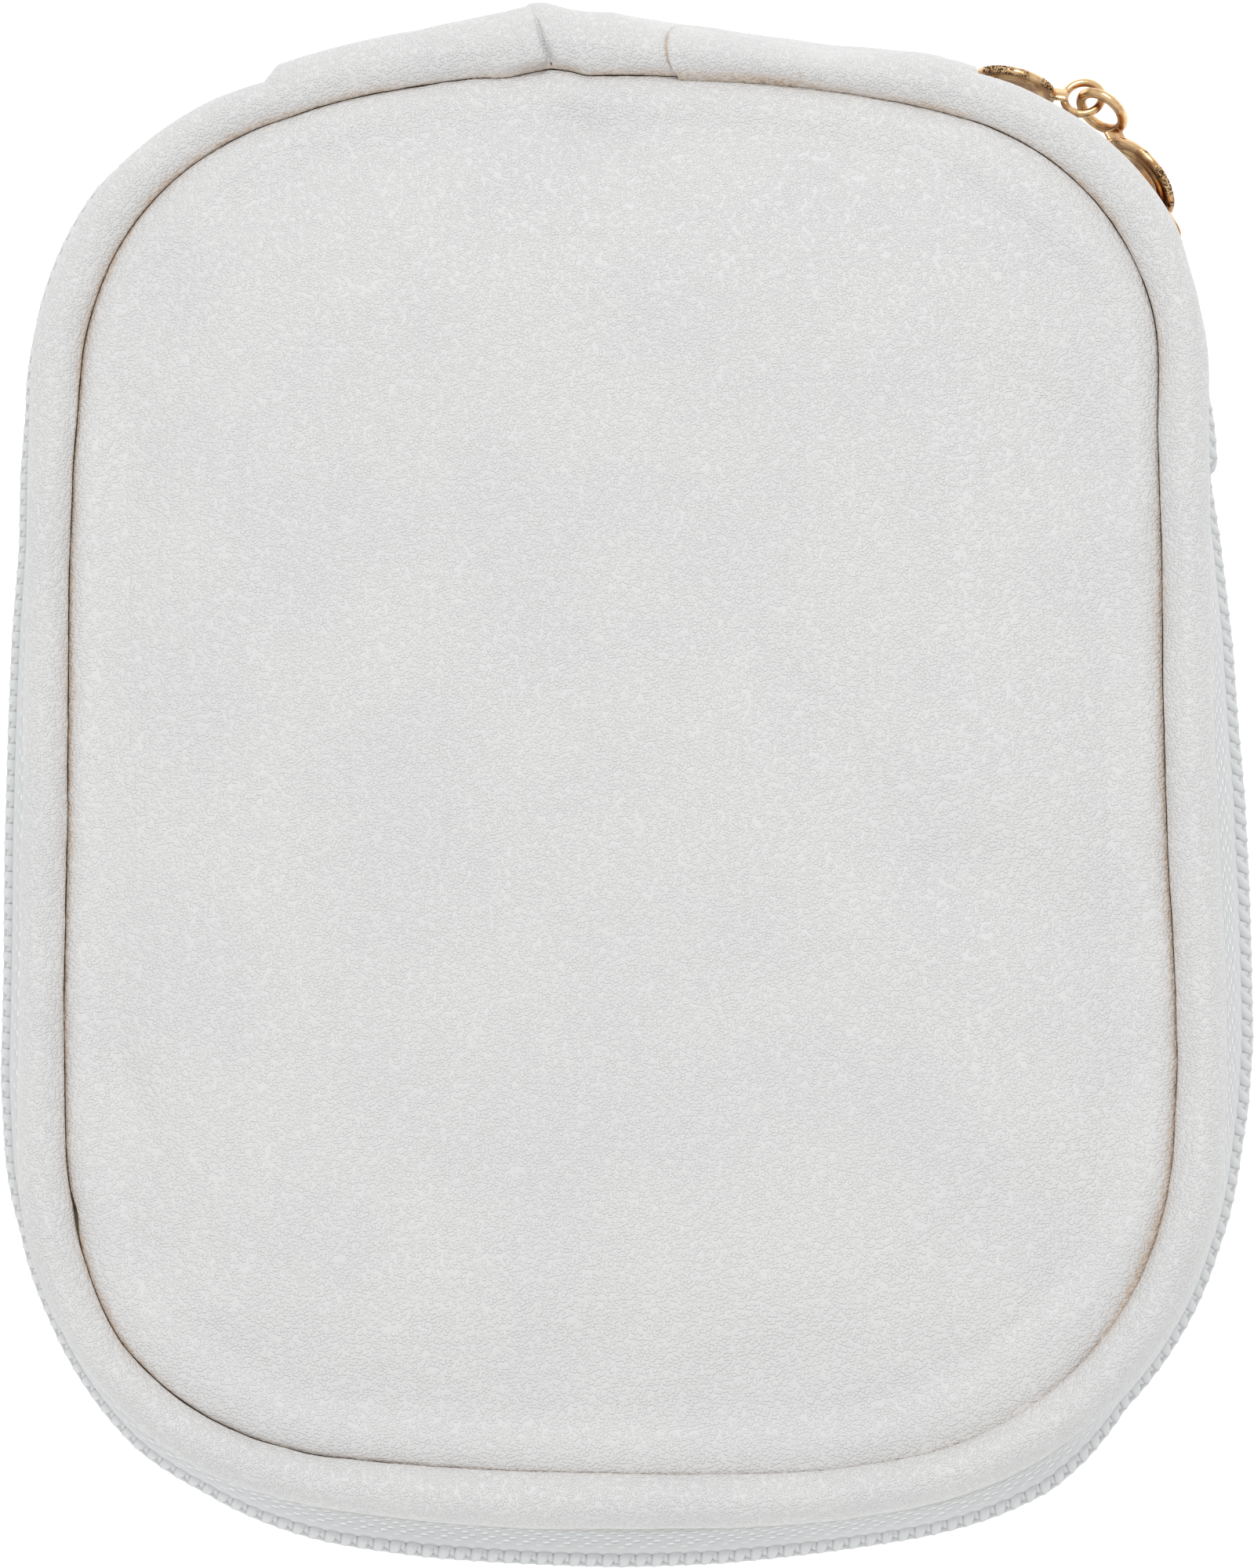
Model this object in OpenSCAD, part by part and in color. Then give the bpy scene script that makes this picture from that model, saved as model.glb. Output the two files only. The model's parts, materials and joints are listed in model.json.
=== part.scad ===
// Soft zip-around jewelry case: a padded lid and a deep base joined by a leather
// hinge at the back (+Y) and closed by a nylon coil zip whose slider runs round
// the case. The case lies on its base. Millimetres.

/* [Outline] */
// Width of the padded lid panel, seam to seam
panel_w = 84.8; // [70:0.1:110]
// Depth of the padded lid panel, seam to seam
panel_d = 108.7; // [90:0.1:140]
// Corner radius of the panel beside the hinge
back_corner_r = 21.5; // [20:0.1:26]
// Corner radius of the panel at the front
front_corner_r = 23.9; // [20:0.1:28]
// Radius of the shallow bow along the hinge side
back_crown_r = 99; // [80:1:200]
// Radius of the shallow bow along the front side
front_crown_r = 191; // [100:1:400]

/* [Heights] */
// Height of the base wall
base_h = 26.4; // [20:0.1:40]
// Height of zip tape seen between the base wall and the lid wall
zip_gap = 11.2; // [10:0.1:14]
// Height of the straight part of the lid wall
lid_wall_h = 4.8; // [4.6:0.1:12]
// Rise of the rounded rim above the straight lid wall
rim_rise = 2.5; // [1.8:0.1:4]
// Height of the padded panel's edge above the lid board
panel_edge_h = 1.3; // [1:0.1:2]
// Height of the padded panel's middle above the lid board
panel_puff = 4.6; // [3:0.1:8]
// How far in from the seam the padded panel goes on rising
puff_run = 18; // [12:0.5:19]

/* [Walls] */
// How far the walls stand out beyond the panel seam
rim_w = 4.2; // [4:0.1:6]
// Thickness of the outer leather
leather_t = 0.8; // [0.5:0.1:1]
// Thickness of the stiff wall frames
frame_t = 2.2; // [1.5:0.1:2.4]
// Thickness of the lid board and the base board
board_t = 1.6; // [1:0.1:3]
// Thickness of the lining
lining_t = 0.8; // [0.5:0.1:1.2]
// Gap in the crevice between the rim and the panel
seam_gap = 0.1; // [0.05:0.05:0.3]
// Radius of the rounded lower edge of the base
foot_r = 3.2; // [2.5:0.1:5]
// Width of the leather turned in under the base
foot_turn = 6; // [4:0.1:12]

/* [Zip] */
// How far the tape bulges out beyond the panel seam
zip_bulge = 5.7; // [4.8:0.1:6.6]
// Radius of the curve that the zip takes at its closed end, behind the slider
zip_corner_r = 44; // [36:1:46]
// Radius of the arc that the slider travels, up to its closed place
zip_travel_r = 29.4; // [27:0.2:32]
// Length of the side over which the zip draws in, before the slider's arc
zip_draw_l = 37; // [30:1:42]
// Thickness of the zip tape
tape_t = 0.5; // [0.4:0.05:0.7]
// Half height of the flat band of tape at the chain
tape_flat = 3.4; // [3:0.1:3.8]
// Height of tape glued in behind the leather
tape_tuck = 4.2; // [2:0.1:4.4]
// Pitch of the coil
coil_pitch = 1.27; // [1.2:0.01:1.8]
// Radius of one coil tooth
tooth_r = 0.42; // [0.35:0.01:0.45]
// Radius of the head of a coil tooth
tooth_head_r = 0.55; // [0.45:0.01:0.58]
// Height of the head of a coil tooth
tooth_head_h = 0.5; // [0.3:0.05:0.8]
// Width of the closed chain
chain_w = 4.2; // [3.8:0.1:4.6]
// Slit between the two coils that the slider's neck runs in
mesh_gap = 0.8; // [0.7:0.05:1]
// Clearance between a coil tooth and the tape
tooth_seat = 0.03; // [0.01:0.01:0.06]
// Length of the metal stop that ends each coil
stop_l = 1.4; // [1:0.1:2]
// Thickness of the stop
stop_t = 1; // [0.8:0.1:1.2]
// Clearance between the closed slider and the stops
stop_gap = 0.3; // [0.2:0.1:0.8]

/* [Slider] */
// Where the slider rests on its corner, in degrees from the side of the case
slider_a = 34; // [28:0.5:38]
// Length of the slider
slider_l = 8.6; // [7:0.1:9]
// Width of the slider at its mouth
slider_w = 6.2; // [6:0.1:6.6]
// Width of the slider at its narrow end
slider_tail_w = 5.6; // [5.4:0.1:6]
// Corner radius of the slider's plates
slider_corner_r = 1.5; // [0.8:0.1:2]
// How much smaller the inner plate is on every side
inner_trim = 0.4; // [0.4:0.1:0.8]
// Thickness of the slider's plates
plate_t = 0.8; // [0.6:0.05:0.9]
// Clearance between the coil and the slider's outer plate
channel_gap = 0.4; // [0.35:0.05:0.6]
// Clearance between the tape and the slider's inner plate
tape_gap = 0.5; // [0.45:0.05:0.6]
// Thickness of the slider's neck, which parts the coils
neck_t = 0.5; // [0.3:0.05:0.55]
// Length of the slider's neck
neck_l = 1.6; // [1:0.1:2.5]
// Distance of the neck from the slider's wide end
neck_inset = 0.4; // [0.4:0.1:1]
// Thickness of the slider's side flange
flange_t = 0.6; // [0.4:0.05:0.6]
// Length of the flange
flange_l = 5.6; // [4:0.1:6]
// Distance of the flange from the slider's narrow end
flange_inset = 1.7; // [1:0.1:2]
// Width of the bridge on the slider
bridge_w = 1.2; // [0.9:0.1:1.3]
// Thickness of the bridge on the slider
bridge_t = 0.6; // [0.5:0.05:0.9]
// Free height under the bridge
bridge_h = 1.9; // [1.85:0.05:2.2]
// Radius of the bridge's rounded shoulders
bridge_r = 1; // [0.4:0.1:1.2]
// Length of the bridge
bridge_l = 5.6; // [5:0.1:5.8]
// Thickness of the bridge's feet
bridge_foot_t = 0.8; // [0.6:0.05:0.8]
// Height of the link's upright pin line above the outer plate
pin_h = 1.15; // [1.1:0.05:1.2]

/* [Pull] */
// Distance from the bridge to the centre of the link's eye
link_l = 11.5; // [11:0.1:14]
// Radius of the link's round blade
link_blade_r = 3.4; // [3:0.1:3.6]
// Thickness of the blades
blade_t = 0.9; // [0.8:0.05:1]
// Depth of the hollow in each face of a blade
blade_hollow = 0.2; // [0.1:0.05:0.3]
// Width of the raised border of a blade
blade_border = 0.75; // [0.5:0.05:1]
// Half width of the link's loop round the bridge
loop_half_w = 1.7; // [1.7:0.05:2]
// Thickness of the loop's sides
loop_t = 0.7; // [0.6:0.05:0.7]
// Length of the hole in the link's loop
loop_hole_l = 2.8; // [2.8:0.05:3.2]
// Radius of the link's eye, to the middle of its wire
link_eye_r = 1.75; // [1.7:0.05:2]
// Radius of the wire of the link's eye
link_wire_r = 0.375; // [0.3:0.005:0.4]
// Radius of the pendant's eye, to the middle of its wire
pendant_eye_r = 1.4; // [1.3:0.05:1.5]
// Radius of the wire of the pendant's eye
pendant_wire_r = 0.325; // [0.28:0.005:0.36]
// How far the pendant's eye is centred inside the wire of the link's eye
eye_slack = 0.125; // [0.1:0.005:0.15]
// Distance from the pendant's eye to the middle of its blade
pendant_l = 5.4; // [5:0.1:6.5]
// Radius of the pendant's round blade
pendant_blade_r = 3.1; // [2.6:0.1:3.2]
// How far the link leans out at its upper edge, in degrees
link_lean = 25; // [15:1:28]
// How far the pendant leans out at its upper edge, in degrees
pendant_lean = 15; // [8:1:20]
// How far the link stands off the chain's tangent, in degrees
link_off = 4; // [3:0.5:10]
// How far the pendant bends back round the corner, in degrees
pendant_bend = 48; // [30:1:50]

/* [Hinge] */
// Thickness of the leather hinge
spine_t = 1; // [0.8:0.1:1.2]
// Clearance of the hinge over the tape
spine_gap = 0.2; // [0.1:0.05:0.4]
// Height of hinge leather glued to each wall
spine_lap = 3.6; // [2:0.1:4]
// Angle from each end of the hinge side's bow to the end of the hinge
spine_inset = 1.6; // [0.8:0.1:4]
// Gap between the two leaves along the fold
fold_gap = 0.3; // [0.2:0.05:0.6]

/* [Interior] */
// Thickness of the dividers
divider_t = 2; // [1.2:0.1:3]
// Height of the dividers above the tray's floor
divider_h = 20; // [12:0.5:22]
// Front face of the cross divider, from the middle of the case
cross_y = 14; // [8:0.5:20]
// Left face of the long divider, from the middle of the case
long_x = 3; // [-6:0.5:10]
// Front face of the short divider, from the middle of the case
short_y = -21; // [-26:0.5:-12]
// Depth left free in front of the ring rolls
roll_front = 4.2; // [3:0.1:12]
// Height of a ring roll
roll_h = 18.5; // [14:0.5:20]
// Clearance between rolls, dividers and the lining
card_gap = 0.2; // [0.15:0.05:0.5]
// Inset of the lid pocket from the panel seam
pocket_inset = 6; // [4:0.5:12]
// Depth of the lid pocket, from the lining to its face
pocket_depth = 5.6; // [5:0.1:5.8]
// Thickness of the pocket's fabric
pocket_t = 0.6; // [0.4:0.1:0.8]
// Mouth of the lid pocket, from the middle of the case
pocket_mouth_y = -8; // [-20:1:10]
// Width of the elastic along the pocket's mouth
elastic_w = 4; // [3:0.5:6]
// Thickness of the elastic
elastic_t = 1; // [0.8:0.1:1.2]

/* [Hidden] */

LEATHER = [0.91, 0.91, 0.9];
CARD = [0.72, 0.6, 0.45];
FOAM = [0.95, 0.9, 0.7];
TAPE = [0.88, 0.9, 0.94];
COIL = [0.95, 0.96, 0.97];
VELVET = [0.86, 0.83, 0.78];
GOLD = [0.85, 0.65, 0.4];

// Steps along the corners, the bows, the sides and the zip's rounder arc
CORNER_STEPS = 12;
SPINE_STEPS = 9;
FRONT_STEPS = 5;
SIDE_STEPS = 2;
ZIP_STEPS = 5;
FAN_STEP = 22.5;
$fn = 32;
// Overrun of cuts past the faces that they open
cut = 1;

// Heights that the pieces share
chain_z = base_h + zip_gap / 2;
lid_edge_z = base_h + zip_gap;
board_top_z = lid_edge_z + lid_wall_h;
board_under_z = board_top_z - board_t;
lining_under_z = board_under_z - lining_t;
tray_floor_z = leather_t + board_t + lining_t;

// Offsets outward from the panel seam
skin_n = rim_w - leather_t;
frame_n = skin_n - frame_t;
inside_n = frame_n - lining_t;
rebate_n = skin_n - tape_t;

// The seam curve: four corner arcs tangent to two shallow bows and two straight sides
half_w = panel_w / 2;
half_d = panel_d / 2;
function bow_reach(bow_r, corner_r) = sqrt(pow(bow_r - corner_r, 2) - pow(half_w - corner_r, 2));
back_bow_y = half_d - back_crown_r;
front_bow_y = front_crown_r - half_d;
back_corner_x = half_w - back_corner_r;
front_corner_x = half_w - front_corner_r;
back_corner_y = back_bow_y + bow_reach(back_crown_r, back_corner_r);
front_corner_y = front_bow_y - bow_reach(front_crown_r, front_corner_r);
back_a = atan2(back_corner_y - back_bow_y, back_corner_x);
front_a = atan2(front_bow_y - front_corner_y, front_corner_x);
spine_a = back_a + spine_inset;

// Centre of the rounder arc that the zip takes round its closed corner
zip_corner_x = half_w + zip_bulge - zip_corner_r;
zip_corner_y = back_bow_y + sqrt(pow(back_crown_r + zip_bulge - zip_corner_r, 2) - pow(zip_corner_x, 2));

// Centre of the arc that the slider travels: the two arcs touch where the slider is closed
zip_travel_x = zip_corner_x + (zip_corner_r - zip_travel_r) * cos(slider_a);
zip_travel_y = zip_corner_y + (zip_corner_r - zip_travel_r) * sin(slider_a);

// How far out the zip is where the travel ends, and where the side starts to draw it in
zip_leave_n = zip_travel_x + zip_travel_r - half_w;
zip_draw_y = zip_travel_y - zip_draw_l;

// Centres of the corners, and the height at which the zip leaves the right side
BACK_L = [-back_corner_x, back_corner_y];
BACK_R = [back_corner_x, back_corner_y];
FRONT_L = [-front_corner_x, front_corner_y];
FRONT_R = [front_corner_x, front_corner_y];
LEAVE_R = [back_corner_x, min(zip_travel_y, back_corner_y)];
BACK_BOW = [0, back_bow_y];
FRONT_BOW = [0, front_bow_y];

// Each stretch: centre at its start and its end, radius, first and last angle, steps
STRETCHES = [
    [BACK_R, BACK_R, back_corner_r, 0, back_a, CORNER_STEPS],
    [BACK_BOW, BACK_BOW, back_crown_r, back_a, spine_a, 1],
    [BACK_BOW, BACK_BOW, back_crown_r, spine_a, 180 - spine_a, SPINE_STEPS],
    [BACK_BOW, BACK_BOW, back_crown_r, 180 - spine_a, 180 - back_a, 1],
    [BACK_L, BACK_L, back_corner_r, 180 - back_a, 180, CORNER_STEPS],
    [BACK_L, [-back_corner_x, front_corner_y], back_corner_r, 180, 180, SIDE_STEPS],
    [FRONT_L, FRONT_L, front_corner_r, 180, 180 + front_a, CORNER_STEPS],
    [FRONT_BOW, FRONT_BOW, front_crown_r, 180 + front_a, 360 - front_a, FRONT_STEPS],
    [FRONT_R, FRONT_R, front_corner_r, 360 - front_a, 360, CORNER_STEPS],
    [[back_corner_x, front_corner_y], LEAVE_R, back_corner_r, 360, 360, SIDE_STEPS],
    [LEAVE_R, BACK_R, back_corner_r, 360, 360, ZIP_STEPS]];
function stations_of(g) = [for (k = [0 : g[5] - 1]) let (t = k / g[5])
    [g[0] + (g[1] - g[0]) * t, g[2], g[3] + (g[4] - g[3]) * t]];
STATIONS = [for (g = STRETCHES) each stations_of(g)];
COUNT = len(STATIONS);
SPINE_FIRST = CORNER_STEPS + 1;
SPINE_LAST = SPINE_FIRST + SPINE_STEPS;
function point_at(s, n) = s[0] + (s[1] + n) * [cos(s[2]), sin(s[2])];
function path(n) = [for (s = STATIONS) point_at(s, n)];
function profile_at(s, profile) = [for (p = profile) let (q = point_at(s, p[0])) [q[0], q[1], p[1]]];

// The zip's distance from the seam: the bulge, or less where an arc or the side draws it in
function arc_n(s, x, y, r) = let (d = point_at(s, 0) - [x, y], u = [cos(s[2]), sin(s[2])])
    sqrt(pow(d * u, 2) - d * d + r * r) - d * u;
function turn_of(p) = atan2(p[1] - zip_travel_y, p[0] - zip_travel_x);
function side_n(y) = zip_bulge
    - (zip_bulge - zip_leave_n) * max(0, (y - zip_draw_y) / (zip_travel_y - zip_draw_y));
function chain_n(s) = let (p = point_at(s, zip_bulge), turn = turn_of(p))
    p[0] < zip_corner_x || s[2] > 180 && s[2] < 360 ? zip_bulge
    : turn < 0 ? side_n(p[1])
    : turn < slider_a ? arc_n(s, zip_travel_x, zip_travel_y, zip_travel_r)
    : min(zip_bulge, arc_n(s, zip_corner_x, zip_corner_y, zip_corner_r));

// The chain's line from the left end of the hinge, round the front, to the right end
CHAIN = [for (i = [SPINE_LAST : COUNT + SPINE_FIRST]) let (s = STATIONS[i % COUNT])
    [point_at(s, chain_n(s)), [cos(s[2]), sin(s[2])]]];
CHAIN_RUN = [for (i = 0, run = 0; i < len(CHAIN);
    run = run + (i + 1 < len(CHAIN) ? norm(CHAIN[i + 1][0] - CHAIN[i][0]) : 0), i = i + 1) run];
chain_l = CHAIN_RUN[len(CHAIN) - 1];
CHAIN_X = [for (i = [0 : len(CHAIN) - 1]) [CHAIN_RUN[i], CHAIN[i][0][0]]];
CHAIN_Y = [for (i = [0 : len(CHAIN) - 1]) [CHAIN_RUN[i], CHAIN[i][0][1]]];
CHAIN_U = [for (i = [0 : len(CHAIN) - 1]) [CHAIN_RUN[i], CHAIN[i][1][0]]];
CHAIN_V = [for (i = [0 : len(CHAIN) - 1]) [CHAIN_RUN[i], CHAIN[i][1][1]]];
function chain_point(run, n) = [lookup(run, CHAIN_X), lookup(run, CHAIN_Y)]
    + n * [lookup(run, CHAIN_U), lookup(run, CHAIN_V)];

// Rings of points joined into one closed solid; an open run gets flat ends
module sweep(rings, closed = true) {
    n = len(rings);
    m = len(rings[0]);
    sides = [for (i = [0 : closed ? n - 1 : n - 2]) for (j = [0 : m - 1])
        let (k = (i + 1) % n, l = (j + 1) % m,
            a = i * m + j, b = i * m + l, c = k * m + j, d = k * m + l)
        each [[a, b, d], [a, d, c]]];
    ends = closed ? [] : [[for (j = [m - 1 : -1 : 0]) j], [for (j = [0 : m - 1]) (n - 1) * m + j]];
    polyhedron([for (r = rings) each r], concat(sides, ends));
}

// Closed loops stacked into one solid, closed over the first and the last loop
module stack(loops) {
    m = len(loops[0]);
    last = len(loops) - 1;
    sides = [for (k = [0 : last - 1]) for (i = [0 : m - 1])
        let (j = (i + 1) % m,
            a = k * m + i, b = k * m + j, c = (k + 1) * m + i, d = (k + 1) * m + j)
        each [[a, c, d], [a, d, b]]];
    bottom = m * (last + 1);
    ends = [for (i = [0 : m - 1]) let (j = (i + 1) % m)
        each [[bottom, i, j], [bottom + 1, last * m + j, last * m + i]]];
    middles = [[0, 0, loops[0][0][2]], [0, 0, loops[last][0][2]]];
    polyhedron(concat([for (l = loops) each l], middles), concat(sides, ends));
}

// A plate with the case's outline
module plate(n, z, t) {
    translate([0, 0, z]) linear_extrude(t) polygon(path(n));
}

// A wall that follows the case's outline
module wall(n_out, n_in, z, t) {
    translate([0, 0, z]) linear_extrude(t) difference() {
        polygon(path(n_out));
        polygon(path(n_in));
    }
}

// Half an ellipse over the rim, from the outside to the crevice
function rim_arc(inset, steps) = [for (k = [0 : steps]) let (a = 180 * k / steps)
    [(rim_w + seam_gap) / 2 + ((rim_w - seam_gap) / 2 - inset) * cos(a),
        board_top_z + (rim_rise - inset) * sin(a)]];
RIM_STEPS = 6;

// The padded panel's dome, as loops from its edge to its middle
DOME_SHARES = [0, 0.05, 0.16, 0.38, 0.68, 1];
function dome_loop(share, inset) = [for (s = STATIONS)
    let (q = point_at(s, -seam_gap - inset - share * (puff_run - inset)),
        rise = panel_edge_h + (panel_puff - panel_edge_h) * sqrt(1 - pow(1 - share, 2)))
    [q[0], q[1], board_top_z + rise - inset]];
function dome_foot(inset) = [for (s = STATIONS) let (q = point_at(s, -seam_gap - inset))
    [q[0], q[1], board_top_z]];
function reversed(list) = [for (i = [len(list) - 1 : -1 : 0]) list[i]];

module lid_panel() {
    inner = [for (share = reversed(DOME_SHARES)) dome_loop(share, leather_t)];
    outer = [for (share = DOME_SHARES) dome_loop(share, 0)];
    color(LEATHER) stack(concat(inner, [dome_foot(leather_t), dome_foot(0)], outer));
}

module lid_foam() {
    loops = [for (share = DOME_SHARES) dome_loop(share, leather_t)];
    color(FOAM) stack(concat([dome_foot(leather_t)], loops));
}

module lid_board() {
    color(CARD) plate(frame_n, board_under_z, board_t);
}

// Stiff ring inside the lid wall, rebated outside for the zip tape
module lid_frame() {
    color(CARD) {
        wall(rebate_n, frame_n, lid_edge_z, lid_wall_h);
        wall(skin_n, rebate_n, lid_edge_z + tape_tuck, lid_wall_h - tape_tuck);
    }
}

module lid_rim_filler() {
    color(FOAM) sweep([for (s = STATIONS) profile_at(s, rim_arc(leather_t, RIM_STEPS))]);
}

module lid_band() {
    profile = concat([[skin_n, lid_edge_z], [rim_w, lid_edge_z]], rim_arc(0, RIM_STEPS),
        reversed(rim_arc(leather_t, RIM_STEPS)));
    color(LEATHER) sweep([for (s = STATIONS) profile_at(s, profile)]);
}

// One zip tape: tucked in behind the leather, then slanting to the flat band at the chain
module zip_tape(side) {
    function tape_at(s) = let (c = chain_n(s), edge = zip_gap / 2, in = tape_t)
        [[c - in, mesh_gap / 2], [c, mesh_gap / 2], [c, tape_flat], [skin_n, edge],
            [skin_n, edge + tape_tuck], [rebate_n, edge + tape_tuck], [rebate_n, edge],
            [c - in, tape_flat]];
    color(TAPE) sweep([for (i = [SPINE_LAST - 1 : COUNT + SPINE_FIRST + 1]) let (s = STATIONS[i % COUNT],
        p = [for (q = tape_at(s)) [q[0], chain_z + side * q[1]]])
        profile_at(s, side > 0 ? p : reversed(p))], closed = false);
}

// The coils end at the stops, just past the closed slider
stop_y = slider_l / 2 + stop_gap;
stop_a = slider_a + (stop_y - tooth_head_r) / zip_corner_r * 180 / PI;
function past_stop(p) = p[0] > zip_corner_x && p[1] > zip_corner_y
    && atan2(p[1] - zip_corner_y, p[0] - zip_corner_x) > stop_a;

// One coil: a row of upright teeth whose heads meet those of the other coil
module zip_coil(side, shift) {
    teeth = [for (i = [1 : floor(chain_l / coil_pitch) - 1])
        chain_point((i + shift) * coil_pitch, tooth_head_r + tooth_seat)];
    color(COIL) for (p = teeth) if (!past_stop(p))
        translate([p[0], p[1], chain_z]) mirror([0, 0, side > 0 ? 0 : 1]) translate([0, 0, mesh_gap / 2]) {
            cylinder(r = tooth_head_r, h = tooth_head_h, $fn = 16);
            cylinder(r = tooth_r, h = (chain_w - mesh_gap) / 2, $fn = 16);
        }
}

module lid_zip_tape() { zip_tape(1); }
module base_zip_tape() { zip_tape(-1); }
module lid_zip_coil() { zip_coil(1, 0.25); }
module base_zip_coil() { zip_coil(-1, 0.75); }

module lid_lining() {
    color(VELVET) {
        plate(frame_n, lining_under_z, lining_t);
        wall(frame_n, inside_n, lid_edge_z, lining_under_z - lid_edge_z);
    }
}

// Gathered pocket across the hinge half of the lid, open towards the front
module pocket_space(n, mouth_y) {
    intersection() {
        polygon(path(n));
        translate([-panel_w, mouth_y]) square([2 * panel_w, panel_d]);
    }
}

module lid_pocket() {
    color(VELVET) translate([0, 0, lining_under_z - pocket_depth]) difference() {
        linear_extrude(pocket_depth) pocket_space(-pocket_inset, pocket_mouth_y);
        translate([0, 0, pocket_t]) linear_extrude(pocket_depth)
            pocket_space(-pocket_inset - pocket_t, pocket_mouth_y - cut);
    }
}

module lid_pocket_elastic() {
    half = half_w - pocket_inset;
    color(VELVET) translate([-half, pocket_mouth_y, lining_under_z - pocket_depth - elastic_t])
        cube([2 * half, elastic_w, elastic_t]);
}

// One leaf of the leather hinge, from the fold to where it is glued on the wall
module hinge_leaf(side) {
    lap = zip_gap / 2 + spine_lap;
    in = zip_bulge + spine_gap;
    out = in + spine_t;
    slope = zip_gap / 2 + spine_gap;
    profile = [[in, fold_gap / 2], [out, fold_gap / 2], [out, tape_flat],
        [rim_w + spine_t, slope + spine_t / 2], [rim_w + spine_t, lap],
        [rim_w, lap], [rim_w, slope], [in, tape_flat]];
    p = [for (q = profile) [q[0], chain_z + side * q[1]]];
    color(LEATHER) sweep([for (i = [SPINE_FIRST : SPINE_LAST])
        profile_at(STATIONS[i], side > 0 ? p : reversed(p))], closed = false);
}

module lid_hinge_leaf() { hinge_leaf(1); }
module base_hinge_leaf() { hinge_leaf(-1); }

// Quarter round under the base wall, from the outside to the underside
function foot_arc(inset, steps) = [for (k = [0 : steps]) let (a = 90 * k / steps)
    [rim_w - foot_r + (foot_r - inset) * cos(a), foot_r - (foot_r - inset) * sin(a)]];
FOOT_STEPS = 4;

module base_band() {
    turn_n = rim_w - foot_turn;
    profile = concat([[rim_w, base_h], [skin_n, base_h]], foot_arc(leather_t, FOOT_STEPS),
        [[turn_n, leather_t], [turn_n, 0]], reversed(foot_arc(0, FOOT_STEPS)));
    color(LEATHER) sweep([for (s = STATIONS) profile_at(s, profile)]);
}

// Stiff ring inside the base wall, rebated outside for the zip tape
module base_frame() {
    color(CARD) {
        wall(rebate_n, frame_n, foot_r, base_h - foot_r);
        wall(skin_n, rebate_n, foot_r, base_h - tape_tuck - foot_r);
    }
}

module base_board() {
    color(CARD) plate(frame_n - card_gap, leather_t, board_t);
}

module base_panel() {
    color(LEATHER) plate(rim_w - foot_turn - seam_gap, 0, leather_t);
}

module base_lining() {
    color(VELVET) {
        plate(frame_n, tray_floor_z - lining_t, lining_t);
        wall(frame_n, inside_n, tray_floor_z, base_h - tray_floor_z);
    }
}

// Clear half width and depth inside the lining
room_x = half_w + inside_n - card_gap;
function room_front(x) = front_bow_y - sqrt(pow(front_crown_r + inside_n - card_gap, 2) - x * x);
function room_side(y) = y > front_corner_y ? room_x
    : front_corner_x + sqrt(pow(front_corner_r + inside_n - card_gap, 2) - pow(front_corner_y - y, 2));

module cross_divider() {
    color(VELVET) translate([-room_x, cross_y, tray_floor_z]) cube([2 * room_x, divider_t, divider_h]);
}

module long_divider() {
    front = room_front(abs(long_x) + divider_t) + card_gap;
    color(VELVET) translate([long_x, front, tray_floor_z])
        cube([divider_t, cross_y - card_gap - front, divider_h]);
}

module short_divider() {
    left = long_x + divider_t + card_gap;
    color(VELVET) translate([left, short_y, tray_floor_z]) cube([room_x - left, divider_t, divider_h]);
}

// The rolls share the depth between the cross divider and the front of the tray
ROLLS = 5;
roll_w = (cross_y - room_front(0) - roll_front) / ROLLS - card_gap;

// A ring roll: a padded bar with a round top, as long as the tray is wide there
module ring_roll(i) {
    back = cross_y - card_gap - (i - 1) * (roll_w + card_gap);
    left = -room_side(back - roll_w) + card_gap;
    color(VELVET) translate([left, back - roll_w / 2, tray_floor_z]) rotate([90, 0, 90])
        linear_extrude(long_x - card_gap - left) {
            translate([-roll_w / 2, 0]) square([roll_w, roll_h - roll_w / 2]);
            translate([0, roll_h - roll_w / 2]) circle(roll_w / 2);
        }
}

// Frame at the slider: outward, along the chain towards the hinge, up
module at_slider() {
    translate([zip_corner_x, zip_corner_y, chain_z]) rotate([0, 0, slider_a])
        translate([zip_corner_r, 0, 0]) children();
}
plate_in = 2 * tooth_head_r + tooth_seat + channel_gap;
plate_out = plate_in + plate_t;
pivot_n = plate_out + pin_h;

// A slider plate seen from outside: a tapered plate with round corners
module slider_outline(trim) {
    l = slider_l / 2 - trim;
    w = slider_w / 2 - trim;
    t = slider_tail_w / 2 - trim;
    r = slider_corner_r;
    corners = [[l, w, 0], [-l, t, 90], [-l, -t, 180], [l, -w, 270]];
    polygon([for (c = corners) for (a = [0 : FAN_STEP : 90])
        [c[0] - sign(c[0]) * r, c[1] - sign(c[1]) * r] + r * [cos(c[2] + a), sin(c[2] + a)]]);
}

// The slider: two plates joined by a neck, and a flange that holds the base's coil
module slider_body() {
    in_x = -tape_t - tape_gap - plate_t;
    neck_y = slider_l / 2 - neck_l - neck_inset;
    color(GOLD) at_slider() {
        translate([plate_in, 0, 0]) rotate([90, 0, 90]) linear_extrude(plate_t) slider_outline(0);
        translate([in_x, 0, 0]) rotate([90, 0, 90]) linear_extrude(plate_t) slider_outline(inner_trim);
        translate([in_x, neck_y, -neck_t / 2]) cube([plate_in - in_x, neck_l, neck_t]);
        translate([tape_gap, flange_inset - slider_l / 2, -slider_w / 2])
            cube([plate_in - tape_gap, flange_l, flange_t]);
    }
}

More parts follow.
